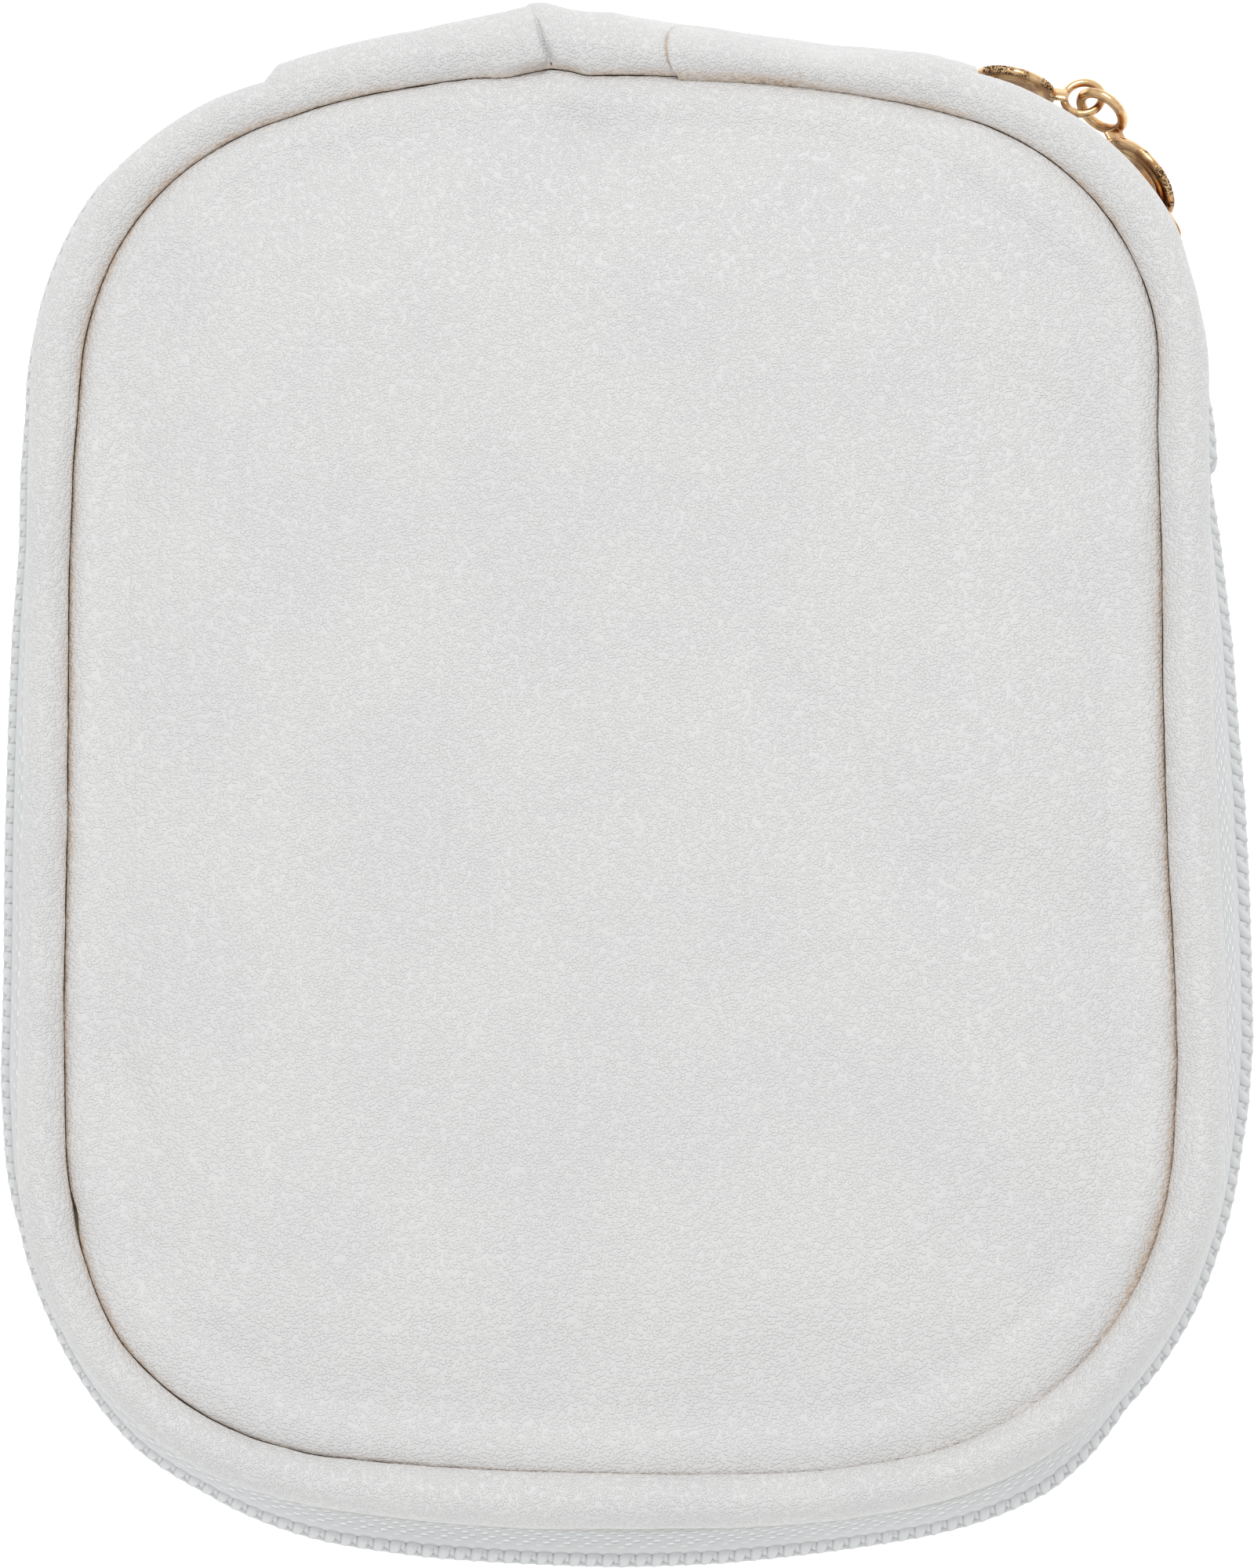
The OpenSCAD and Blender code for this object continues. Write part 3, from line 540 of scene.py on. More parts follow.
def wander(run, column):
    table = np.array(rimWander)
    share = np.mod(run, seam["length"]) / mm
    return np.interp(share, table[:, 0], table[:, column], period=seam["length"] / mm) * mm


def creviceOut(run):
    return wander(run, 1)


def rimWide(run):
    return wander(run, 2)


def tabShare(run):
    # 1 where the rim runs on down over the hinge
    r, s = flatRun(run), rimSizes
    rising = ease(r, -s["tabRight"] - s["tabEase"], -s["tabRight"])
    return rising * (1 - ease(r, s["tabLeft"], s["tabLeft"] + s["tabEase"]))


def rimRuns():
    # evenly spaced, and closer together at the fold and the overlap
    s = rimSizes
    runs = [-seam["length"] / 2]
    while runs[-1] < seam["length"] / 2:
        r = runs[-1]
        near = min(abs(r - s["foldRun"]) / 6, abs(r - s["tongueRun"]) / 3,
                   abs(r + s["tabRight"] + s["tabEase"]) / 2, abs(r - s["tabLeft"] - s["tabEase"]) / 2)
        runs.append(r + min(s["step"], max(0.09 * mm, near * 0.5)))
    return np.array(runs[:-1])


def rimProfile():
    # rows of out and height: the cut edge, the crest, the wall, and the wall's turned edge
    s = rimSizes
    crestOut = s["centreOut"]
    rows = [(0.16 * mm, s["edgeHigh"] - 0.5 * mm), (0.02 * mm, s["edgeHigh"] - 0.4 * mm),
            (0.0, s["edgeHigh"])]
    for share in (0.05, 0.12, 0.22, 0.34, 0.48, 0.64, 0.82):
        high = s["edgeHigh"] + (rimTop - s["edgeHigh"]) * math.sin(share * math.pi / 2) ** 0.85
        rows.append((crestOut * share, high))
    for degrees in np.linspace(90, 0, 10):
        a = math.radians(degrees)
        rows.append((crestOut + s["halfWide"] * math.cos(a), s["centreHigh"] + s["crestRise"] * math.sin(a)))
    for share in (0.15, 0.35, 0.55, 0.75, 0.9):
        rows.append((rimOut, s["centreHigh"] + share * (lidEdge - s["centreHigh"])))
    rows += [(rimOut - 0.12 * mm, lidEdge + 0.12 * mm), (rimOut - 0.45 * mm, lidEdge)]
    return np.array(rows)


def tabProfile(count):
    # the same rows where the leather flows on over the hinge, then rows down to the base
    s, rows = rimSizes, rimProfile()
    crest = int(np.argmax(rows[:, 1]))
    knots = np.array([rows[crest] / mm] + [list(k) for k in tabKnots]
                     + [(s["tabLap"] / mm, 24.2), (s["tabLap"] / mm, s["tabBottom"] / mm)]) * mm
    lengths = np.concatenate([[0], np.cumsum(np.linalg.norm(np.diff(knots, axis=0), axis=1))])
    fine = np.linspace(0, lengths[-1], 400)
    curve = np.stack([np.interp(fine, lengths, knots[:, k]) for k in (0, 1)], 1)
    kernel = np.hanning(41) / np.hanning(41).sum()
    padded = np.concatenate([2 * curve[:1] - curve[1:21][::-1], curve, 2 * curve[-1:] - curve[-21:-1][::-1]])
    smooth = np.stack([np.convolve(padded[:, k], kernel, "valid") for k in (0, 1)], 1)
    upper = len(rows) - crest
    share = np.concatenate([np.linspace(0, 0.36, upper), np.linspace(0.36, 1, count + 1)[1:]])
    at = share * (len(smooth) - 1)
    tail = np.stack([np.interp(at, np.arange(len(smooth)), smooth[:, k]) for k in (0, 1)], 1)
    return np.concatenate([rows[:crest], tail])


# lengths in mm along the rim, heights as shares of the fold's lift; lean is a curve across the rim
foldSizes = {"lean": (-1.6, 3.0, -0.7), "rise": 0.75, "leftFade": 2.6, "right": 0.45, "rightFade": 2.2,
             "valley": 0.28, "valleyWide": 0.26, "overhang": 0.45 * mm, "overhangAt": 0.55,
             "overhangWide": 0.45, "swellLeft": 3.6, "swellRight": 2.4, "opens": (0.2, 0.62)}


def foldPush(along, across):
    # the pinched fold: a lobe that rises steeply on its left and lies over a narrow valley
    f = foldSizes
    x = along / mm - np.polyval(f["lean"][::-1], across)
    lobe = np.where(x > 0, ease(x, 0, f["rise"]) * np.exp(-np.maximum(x - f["rise"], 0) / f["leftFade"]), 0)
    right = np.where(x <= 0, f["right"] * np.exp(x / f["rightFade"]) * ease(-x, 0.1, 0.9), 0)
    valley = -f["valley"] * np.exp(-(x / f["valleyWide"]) ** 2)
    side = -f["overhang"] * np.exp(-((x - f["overhangAt"]) / f["overhangWide"]) ** 2)
    # towards the outside the fold opens into one soft swelling
    swell = np.where(x > 0, np.exp(-x / f["swellLeft"]), np.exp(-(x / f["swellRight"]) ** 2))
    opened = ease(across, *f["opens"])
    return rimSizes["foldLift"] * ((1 - opened) * (lobe + right + valley) + opened * swell), side


def rimPaint(band, r, across, outs, highs, inner):
    # dirt in the crevice and the overlap, dark pits, and painted shade, grey, on the rim's wall towards the
    # tape
    s, onTop = rimSizes, highs > 40 * mm
    stain = 0.75 * np.exp(-((r - s["tongueRun"]) / (0.20 * mm)) ** 2) * ease(across, 0.0, 0.06)
    least = 0.25 + 0.3 * ease(np.abs(r), 150 * mm, 120 * mm)
    patchy = 0.85 + 0.6 * ripple(r[:, 0], 21, 6 * mm)[:, None]
    soiled = np.maximum(ease(np.abs(r), 75 * mm, 45 * mm), least) * patchy
    reach = np.maximum(outs - inner, 0) / (0.42 * mm)
    stain = np.maximum(stain * onTop, 0.8 * soiled * np.exp(-reach ** 1.5) * onTop)
    for run, out, size in rimSpecks:
        spot = ((r - run * mm) ** 2 + (outs - inner - out * mm) ** 2) / (size * mm) ** 2
        stain = np.maximum(stain, 1.5 * np.exp(-spot) * onTop)
    paint(band, "stain", np.broadcast_to(stain, highs.shape).ravel())
    # painted shade: grey on the rim's wall towards the tape, away from the hinge side
    around = np.mod(r, seam["length"])
    rimWallShade = ease(around, 45 * mm, 60 * mm) * (1 - ease(around, 245 * mm, 280 * mm))
    paint(band, "rimWallShade", (0.95 * rimWallShade * ease(across, 0.55, 0.95) * np.ones_like(highs)).ravel())


def makeRim():
    s = rimSizes
    runs, rows, extra = rimRuns(), rimProfile(), 16
    upper = len(rows)
    plain = np.concatenate([rows, np.repeat(rows[-1:], extra, 0)])
    flared = tabProfile(extra)
    share = tabShare(runs)[:, None]
    outs = plain[None, :, 0] * (1 - share) + flared[None, :, 0] * share
    highs = plain[None, :, 1] * (1 - share) + flared[None, :, 1] * share
    # the tab's sides turn in over the ends of the zip
    r = flatRun(runs)[:, None]
    side = np.where(r > 0, r - s["tabLeft"], -r - s["tabRight"])
    turnedIn = (ease(side, -3.0 * mm, -0.2 * mm) * ease(highs, 25 * mm, 29 * mm)
                * (1 - ease(highs, 38.5 * mm, 41.5 * mm)))
    outs = outs - turnedIn * np.maximum(outs - s["tabHug"], 0)
    # the rim narrows and its inner edge wanders, but the tab still reaches the base
    inner, narrow = creviceOut(runs)[:, None], rimOut - rimWide(runs)[:, None]
    across = np.clip(outs / rimOut, 0, 1)
    outs = outs + inner * (1 - across) - narrow * across * ease(highs, 26 * mm, 38 * mm)
    # the columns lean so that one of them follows the tongue's rounded edge
    across = np.clip(np.linspace(-0.15, 1.0, upper), 0, 1)
    across = np.concatenate([across, np.ones(extra)])[None, :]
    near = np.exp(-((r - s["tongueRun"]) / s["tongueReach"]) ** 2)
    laidRuns = r + near * np.polyval(s["tongueBend"][::-1], across) * mm
    # fold, tongue and soft unevenness push the leather along its own surface normal
    slope = np.gradient(outs, axis=1), np.gradient(highs, axis=1)
    size = np.hypot(*slope) + 1e-12
    outPart, upPart = -slope[1] / size, slope[0] / size
    fold, foldSide = foldPush(laidRuns - s["foldRun"], across)
    fade = ease(across, 0.0, 0.12) * ease(highs, 27 * mm, 36 * mm)
    beyond = s["tongueRun"] - r
    tongue = np.where(beyond > 0, np.exp(-np.maximum(beyond, 0) / s["tongueFade"]), 0)
    tongue = tongue * s["tongueLift"] * ease(highs, 33 * mm, 38 * mm)
    uneven = s["uneven"] * noiseTable(r[:, 0] / (7 * mm), across[0] * 2.1, 3.1)
    fine = s["fine"] * noiseTable(r[:, 0] / (2.2 * mm), across[0] * 4.0, 9.7)
    push = fade * (fold + uneven + fine) + tongue
    edgeWave = 0.05 * mm * ripple(runs, 5, 3 * mm) + 0.03 * mm * ripple(runs, 8, 0.8 * mm)
    outs = outs + push * outPart + edgeWave[:, None] * ease(across, 0.2, 0.0)
    highs = highs + push * upPart
    flat = seamAt(laidRuns + fade * foldSide, outs)
    points = np.concatenate([flat, highs[..., None]], -1)
    total, count, inTab = upper + extra, len(runs), tabShare(runs) > 0.5
    faces, cut = [], []
    for i in range(count):
        k = (i + 1) % count
        for j in range(total - 1 if inTab[i] and inTab[k] else upper - 1):
            faces.append((i * total + j, i * total + j + 1, k * total + j + 1, k * total + j))
            cut.append(1 if j < 2 else 0)
    band = newPiece("rimLeather", points.reshape(-1, 3), faces)
    rimPaint(band, r, across, outs, highs, inner)
    dress(band, rimLeather, "white_leather", cutEdge)
    band.data.polygons.foreach_set("material_index", cut)
    with meshWork(band) as work:
        bmesh.ops.delete(work, geom=[v for v in work.verts if not v.link_faces], context="VERTS")
    thicken(band, s["leather"], 1)
    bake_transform(band)
    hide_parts("lid_band", "lid_hinge_leaf", "base_hinge_leaf")
    return band


rimBand = makeRim()
print("rim leather:", len(rimBand.data.polygons), "faces")


# the padded panel

panelSizes = {"cell": 1.0 * mm, "gap": 0.07 * mm, "edgeRise": 1.1 * mm, "puff": 4.5 * mm, "run": 18 * mm,
              "pressure": 4.0, "cap": 1.2 * mm, "drop": 0.5 * mm,
              # down and outwards, step by step, into the crevice; mm
              "skirt": ((0.3, 0.04), (0.45, 0.0), (0.6, 0.0)),
              # how the edge parts from the rim at one spot, and snugs up along the front:
              # run, length and depth; mm
              "parted": (119.4, 0.95, 0.36), "snug": (190, 36, 0.20)}

# soft pulls and swellings: x, y, half length, half width, turn in degrees, depth; all mm
panelDents = [(-2.2, 49.2, 2.8, 1.6, -55, -0.75), (-8.5, 47.0, 4.5, 2.6, 20, 0.35),
              (2.0, 45.0, 5.0, 1.4, -40, -0.35),
              (33.0, 26.0, 8.5, 3.2, -38, -0.60), (40.0, 16.5, 4.0, 2.5, -40, 0.30),
              (16.0, 2.0, 8.0, 3.0, -52, -0.40), (30.5, -10.5, 12.0, 3.4, -22, -0.60),
              (30.0, -1.5, 9.0, 3.6, -25, 0.25),
              (41.0, -23.0, 1.8, 1.3, 0, -0.35), (33.0, -28.5, 7.5, 3.0, 0, 0.25),
              (-37.0, -24.5, 5.5, 1.5, -68, -0.50), (-39.3, -33.0, 3.0, 2.2, -70, 0.35),
              (-37.0, 25.0, 6.0, 2.6, 70, -0.22), (-32.0, -2.0, 7.0, 3.2, 80, -0.25),
              (-2.0, -44.5, 8.0, 3.0, 5, -0.30), (12.0, -46.0, 7.0, 2.6, 15, -0.28),
              (27.0, -37.0, 8.0, 3.0, 45, -0.22)]


def dentDepth(places):
    depth = np.zeros(len(places))
    for x, y, longHalf, wideHalf, degrees, deep in panelDents:
        a = math.radians(degrees)
        dx, dy = places[:, 0] / mm - x, places[:, 1] / mm - y
        u, v = dx * math.cos(a) + dy * math.sin(a), dy * math.cos(a) - dx * math.sin(a)
        depth += deep * mm * np.exp(-(u / longHalf) ** 2 - (v / wideHalf) ** 2)
    return depth


def outlineReach(angles, inset):
    # distance from the middle to the inset crevice in each direction
    runs = np.linspace(0, seam["length"], 4001)[:-1]
    at, long, deep = panelSizes["parted"]
    parted = deep * mm * np.exp(-((runs / mm - at) / long) ** 2)
    at, long, deep = panelSizes["snug"]
    snug = deep * mm * np.exp(-((runs / mm - at) / long) ** 4)
    edge = seamAt(runs, creviceOut(runs) - inset - parted + snug)
    a = np.unwrap(np.arctan2(edge[:, 1], edge[:, 0]))
    order = np.argsort(np.mod(a, 2 * math.pi))
    turned, far = np.mod(a, 2 * math.pi)[order], np.linalg.norm(edge, axis=1)[order]
    return np.interp(np.mod(angles, 2 * math.pi), turned, far, period=2 * math.pi)


def panelGrid():
    p = panelSizes
    columns, rows = (int(2 * seam[half] / p["cell"]) + 1 for half in ("halfW", "halfD"))
    u, v = np.meshgrid(np.linspace(-1, 1, columns), np.linspace(-1, 1, rows))
    # the sheet of cells is squeezed to a disc, then stretched to the outline
    dx, dy = u * np.sqrt(1 - v * v / 2), v * np.sqrt(1 - u * u / 2)
    flat = np.stack([dx * seam["halfW"], dy * seam["halfD"]], -1)
    radius = np.hypot(dx, dy)
    directions = np.arctan2(flat[..., 1], flat[..., 0])
    ellipse = np.maximum(np.hypot(flat[..., 0], flat[..., 1]), 1e-9) / np.maximum(radius, 1e-9)
    far = outlineReach(directions, p["gap"])
    # straight cells in the middle, following the outline near it
    scale = np.where(radius > 1e-6, 1 + (far / ellipse - 1) * radius, 1)
    places = flat * scale[..., None]
    return places.reshape(-1, 2), rows, columns


def edgeDistance(places):
    runs = np.linspace(0, seam["length"], 1601)[:-1]
    edge = seamAt(runs, creviceOut(runs))
    return np.sqrt(((places[:, None, :] - edge[None]) ** 2).sum(-1)).min(1)


def panelHeight(distance):
    p = panelSizes
    share = np.clip((distance - p["gap"]) / p["run"], 0, 1)
    return boardTop + p["edgeRise"] + (p["puff"] - p["edgeRise"]) * (1 - (1 - share) ** 1.85) ** 0.62


def panelSkirt(piece):
    # a skirt down into the crevice and a closed underside
    with meshWork(piece) as work:
        loop = [e for e in work.edges if e.is_boundary]
        for drop, draw in panelSizes["skirt"]:
            made = bmesh.ops.extrude_edge_only(work, edges=loop)["geom"]
            ring = [g for g in made if isinstance(g, bmesh.types.BMVert)]
            loop = [g for g in made if isinstance(g, bmesh.types.BMEdge) and all(v in ring for v in g.verts)]
            for v in ring:
                v.co.z -= drop * mm
                v.co += Vector((v.co.x, v.co.y, 0)).normalized() * draw * mm
        for v in {v for e in loop for v in e.verts}:
            v.co.z = boardTop
        bmesh.ops.contextual_create(work, geom=loop)
        bmesh.ops.recalc_face_normals(work, faces=work.faces)
    piece.data.shade_smooth()


def panelStain(piece):
    # brown along the crevice, most at the sides
    places = vertexPlaces(piece)
    near = edgeDistance(places[:, :2])
    x, y = places[:, 0], places[:, 1]
    patchy = noiseAt([(math.cos(a) * 9, math.sin(a) * 11, 4.0) for a in np.arctan2(y, x)])
    reach = (0.5 + 0.3 * patchy) * mm
    left, low = ease(-x, 30 * mm, 40 * mm), ease(-y, 20 * mm, 45 * mm)
    right = ease(x, 34 * mm, 40 * mm) * ease(y, 30 * mm, 10 * mm)
    sides = np.clip(0.15 + 0.6 * np.maximum(left, right) + 0.1 * low, 0, 1)
    paint(piece, "stain", np.exp(-(np.maximum(near - 0.1 * mm, 0) / reach) ** 1.3) * sides)


def makePanel():
    p = panelSizes
    flat, rows, columns = panelGrid()
    distance = edgeDistance(flat)
    points = np.concatenate([flat, panelHeight(distance)[:, None]], 1)
    piece = newPiece("paddedPanel", points, gridFaces(rows, columns))
    index = np.arange(rows * columns).reshape(rows, columns)
    rim = np.concatenate([index[0], index[1:, -1], index[-1, -2::-1], index[-2:0:-1, 0]])
    start = vertexPlaces(piece)
    low = start.copy()
    low[:, 2] -= p["drop"] * ease(distance, 0, 6 * mm)
    moveVertices(piece, low)
    puff(piece, start, [int(i) for i in rim], 20, p["cap"], quality=6, mass=0.4, bending_stiffness=2.0,
         uniform_pressure_force=p["pressure"], tension_stiffness=15, compression_stiffness=15)
    places = vertexPlaces(piece)
    places[:, 2] += dentDepth(places[:, :2]) * ease(distance, 0.3 * mm, 3 * mm)
    moveVertices(piece, places)
    subdivide(piece)
    panelSkirt(piece)
    panelStain(piece)
    dress(piece, panelLeather, "white_leather")
    seat(piece, "lid", "lid_panel", "lid_foam")
    return piece


paddedPanel = makePanel()
print("padded panel:", len(paddedPanel.data.polygons), "faces")


# the zip

zipSizes = {"sliderAngle": 34.0, "travelRadius": 29.15 * mm, "endRadius": 44 * mm, "tape": 0.5 * mm,
            "pitch": 1.27 * mm, "wire": 0.52 * mm, "coilOut": 0.28 * mm, "coilUp": 1.75 * mm,
            "turnOut": 0.12 * mm, "turnUp": 1.0 * mm, "lean": 0.35, "core": 0.52 * mm,
            "leftEnd": 25.4 * mm, "rightEnd": 25.4 * mm, "stopAngle": 39.27,
            # share of the way out, and height from the chain in mm; the first rows lie behind the leather
            "tapeRows": [(0.0, 10.12), (0.0, 7.4), (0.03, 6.2), (0.10, 5.55), (0.23, 4.98), (0.39, 4.42),
                         (0.57, 3.88), (0.73, 3.42), (0.83, 3.02), (0.87, 2.55), (0.88, 2.0), (0.88, 1.45),
                         (0.88, 0.9), (0.88, 0.3)],
            # run along the seam, and how far out the tapes meet there; all mm
            "bulge": [(30, 4.7), (40, 5.27), (50, 4.31), (55, 4.22), (60, 4.57), (66, 4.62), (73, 5.09),
                      (80, 5.3), (90, 5.47), (100, 5.43), (108, 5.54), (114, 5.14), (119, 4.44),
                      (125, 4.39), (130, 4.67), (135, 5), (140, 4.75), (145, 5.05), (150, 5.46),
                      (156, 5.72), (163, 5.76), (170, 5.85), (178, 5.7), (186, 5.29), (194, 4.84),
                      (201, 4.77), (204, 4.25), (208, 3.3), (213, 3.36), (220, 3.58), (225, 4.17),
                      (230, 4.99), (235, 5.4), (241, 5.36), (247, 5.26), (254, 5), (260, 4.54), (266, 4.2),
                      (274.5, 3.3), (280.5, 2.4)]}


def sliderPlace():
    # the slider's middle, from the axis that its pull hangs on, and the middle of its travel
    a = math.radians(zipSizes["sliderAngle"])
    u = np.array([math.cos(a), math.sin(a)])
    pivot = np.array(joints["link_flip"]["pos_m"][:2])
    middle = pivot - 3.48 * mm * u
    return middle, u


def zipTable():
    # how far out the tapes meet: the measured bulge, then the arcs that the slider runs on
    z = zipSizes
    middle, u = sliderPlace()
    runs = np.linspace(0, seam["length"], 2801)
    outs = np.interp(runs, *(np.array(z["bulge"]).T * mm), period=seam["length"])
    spots, normals = seamAt(runs), seamNormal(runs)
    turnover = z["sliderAngle"]
    for radius, low, high in ((z["travelRadius"], 0.0, turnover), (z["endRadius"], turnover, 90.0)):
        d = spots - (middle - radius * u)
        across = (d * normals).sum(1)
        reach = np.sqrt(np.maximum(across ** 2 - (d ** 2).sum(1) + radius ** 2, 0)) - across
        far = d + reach[:, None] * normals
        turn = np.degrees(np.arctan2(far[:, 1], far[:, 0]))
        here = (turn > low) & (turn <= high) & (spots[:, 0] > 18 * mm) & (spots[:, 1] > 0)
        outs = np.where(here, np.minimum(reach, 5.7 * mm), outs)
    kernel = np.hanning(9) / np.hanning(9).sum()
    wrapped = np.concatenate([outs[-5:-1], outs, outs[1:5]])
    return runs, np.convolve(wrapped, kernel, "valid")


zipRuns, zipOuts = zipTable()


def zipOut(run):
    return np.interp(np.mod(run, seam["length"]), zipRuns, zipOuts)


def stopRun():
    # where the coils end, just past the closed slider
    middle, u = sliderPlace()
    centre = middle - zipSizes["endRadius"] * u
    spots = seamAt(zipRuns, zipOuts) - centre
    turn = np.degrees(np.arctan2(spots[:, 1], spots[:, 0]))
    near = (seamAt(zipRuns)[:, 0] > 20 * mm) & (seamAt(zipRuns)[:, 1] > 0)
    return zipRuns[near][np.argmin(np.abs(turn[near] - zipSizes["stopAngle"]))]


def makeTape(name, side, body, node):
    z = zipSizes
    runs = evenRuns(z["leftEnd"], seam["length"] - z["rightEnd"], 0.5 * mm)
    c = zipOut(runs)[:, None]
    rows = np.array(z["tapeRows"])
    start = (rimWide(runs) - 0.85 * mm)[:, None] if side > 0 else 3.05 * mm
    outs = start + rows[None, :, 0] * (c - start)
    drift = 0.10 * mm * ripple(runs, 11 if side > 0 else 12, 9 * mm)[:, None]
    drift = drift * np.sin(rows[None, :, 0] * math.pi)
    highs = np.broadcast_to(chainHeight + side * rows[None, :, 1] * mm, outs.shape) + side * drift
    points = sweepGrid(runs, outs + 0.5 * drift, highs)
    faces = gridFaces(len(runs), len(rows))
    if side < 0:
        faces = [face[::-1] for face in faces]
    piece = newPiece(name, points.reshape(-1, 3), faces)
    steps = np.hypot(np.diff(rows[:, 0]) * 2.4, np.diff(rows[:, 1]))
    across = np.broadcast_to(np.concatenate([[0], np.cumsum(steps)]) * mm, outs.shape)
    along = np.broadcast_to(runs[:, None], outs.shape)
    layUv(piece, np.stack([along, across], -1).reshape(-1, 2))
    dress(piece, tapeWeave, "zip_tape")
    thicken(piece, z["tape"])
    seat(piece, body, node)
    width = np.linalg.norm(np.diff(points, axis=1), axis=2).sum(1).mean()
    length = np.linalg.norm(np.diff(points, axis=0), axis=2).sum(0).mean()
    return piece, (width, length)


lidTape, lidTapeFlat = makeTape("lidZipTape", 1, "lid", "lid_zip_tape")
baseTape, baseTapeFlat = makeTape("baseZipTape", -1, "base", "base_zip_tape")


def nodeTree(name, inputs):
    # an empty geometry tree with named inputs, and what ends it: real instances, then the material
    tree = bpy.data.node_groups.new(name, "GeometryNodeTree")
    tree.interface.new_socket("Geometry", in_out="INPUT", socket_type="NodeSocketGeometry")
    for label, default in inputs.items():
        kind = {float: "NodeSocketFloat", int: "NodeSocketInt"}[type(default)]
        tree.interface.new_socket(label, in_out="INPUT", socket_type=kind).default_value = default
    tree.interface.new_socket("Material", in_out="INPUT", socket_type="NodeSocketMaterial")
    tree.interface.new_socket("Geometry", in_out="OUTPUT", socket_type="NodeSocketGeometry")
    given, end = tree.nodes.new("NodeGroupInput").outputs, tree.nodes.new("NodeGroupOutput")

    def finish(geometry):
        real = wire(tree, "GeometryNodeRealizeInstances", {0: geometry}).outputs[0]
        sockets = {"Geometry": real, "Material": given["Material"]}
        tree.links.new(wire(tree, "GeometryNodeSetMaterial", sockets).outputs[0], end.inputs[0])

    return tree, given, finish


def runNodes(piece, tree, values):
    # the tree's result becomes the piece's mesh; inputs are set by their identifiers
    modifier = piece.modifiers.new(tree.name, "NODES")
    modifier.node_group = tree
    for item in tree.interface.items_tree:
        if item.in_out == "INPUT" and item.name in values:
            modifier[item.identifier] = values[item.name]
    finishModifiers(piece)
    return piece


def coilTree():
    tree, given, finish = nodeTree("zipCoil", {
        "Pitch": 1.27 * mm, "Wire": 0.3 * mm, "Turn Out": 0.2 * mm, "Turn Up": 1.1 * mm, "Lean": 0.3,
        "Core": 0.4 * mm, "Core Up": 0.8 * mm, "Shift": 0.0, "Steps": 12, "Sides": 7})
    do = partial(mathNode, tree)

    def add(kind, sockets=(), **settings):
        return wire(tree, kind, sockets, **settings).outputs[0]

    def moved(curve, aside, upwards):
        # the curve set off along the seam's outward direction and up
        out = add("ShaderNodeVectorMath", {0: outward, "Scale": aside}, operation="SCALE")
        offset = vectorNode(tree, "ADD", out, add("ShaderNodeCombineXYZ", {2: upwards}))
        return add("GeometryNodeSetPosition", {"Geometry": curve, "Offset": offset})

    def tube(curve, radius, sides):
        ring = add("GeometryNodeCurvePrimitiveCircle", {"Resolution": sides, "Radius": radius})
        return add("GeometryNodeCurveToMesh", {"Curve": curve, "Profile Curve": ring, "Fill Caps": True})

    outward = add("GeometryNodeInputNamedAttribute", {"Name": "outward"}, data_type="FLOAT_VECTOR")
    curve = add("GeometryNodeMeshToCurve", {0: given["Geometry"]})
    step = do("DIVIDE", given["Pitch"], given["Steps"])
    fine = add("GeometryNodeResampleCurve", {"Curve": curve, "Length": step}, mode="LENGTH")
    place = wire(tree, "GeometryNodeSplineParameter").outputs["Length"]
    turns = do("ADD", do("DIVIDE", place, given["Pitch"]), given["Shift"])
    angle = do("MULTIPLY", turns, 2 * math.pi)
    upwards = do("MULTIPLY", do("SINE", angle), given["Turn Up"])
    sideways = do("MULTIPLY", do("COSINE", angle), given["Turn Out"])
    aside = do("SUBTRACT", sideways, do("MULTIPLY", upwards, given["Lean"]))
    wound = tube(moved(fine, aside, upwards), given["Wire"], given["Sides"])
    # the cord that the turns are wound round
    coreAside = do("MULTIPLY", do("MULTIPLY", given["Core Up"], given["Lean"]), -1.0)
    cord = tube(moved(curve, coreAside, given["Core Up"]), given["Core"], 10)
    both = wire(tree, "GeometryNodeJoinGeometry", {0: cord})
    tree.links.new(wound, both.inputs[0])
    finish(add("GeometryNodeSetShadeSmooth", {"Geometry": both.outputs[0]}))
    return tree


windCoil = coilTree()


def makeCoil(name, side, body, node, shift):
    z = zipSizes
    runs = evenRuns(z["leftEnd"] + 2.5 * mm, stopRun(), 0.4 * mm)
    flat = seamAt(runs, zipOut(runs) + z["coilOut"])
    points = np.concatenate([flat, np.full((len(runs), 1), chainHeight + side * z["coilUp"])], 1)
    mesh = bpy.data.meshes.new(name)
    mesh.from_pydata([tuple(p) for p in points], [(i, i + 1) for i in range(len(runs) - 1)], [])
    piece = addObject(name, mesh)
    layer = mesh.attributes.new("outward", "FLOAT_VECTOR", "POINT")
    directions = np.concatenate([seamNormal(runs), np.zeros((len(runs), 1))], 1)
    layer.data.foreach_set("vector", directions.astype(np.float32).ravel())
    runNodes(piece, windCoil, {"Pitch": z["pitch"], "Wire": z["wire"], "Turn Out": z["turnOut"],
                               "Turn Up": z["turnUp"], "Lean": side * z["lean"], "Core": z["core"],
                               "Core Up": -0.8 * side * z["turnUp"], "Shift": shift, "Steps": 12,
                               "Sides": 9, "Material": coilNylon})
    return seat(piece, body, node)


lidCoil = makeCoil("lidZipCoil", 1, "lid", "lid_zip_coil", 0.25)
makeCoil("baseZipCoil", -1, "base", "base_zip_coil", 0.75)
for tape, cut in ((lidTape, lidTapeFlat), (baseTape, baseTapeFlat)):
    print("tape cut", round(cut[0] / mm, 1), "by", round(cut[1] / mm, 1), "mm")
print("zip:", len(lidCoil.data.polygons), "faces a coil")


# the base's leather

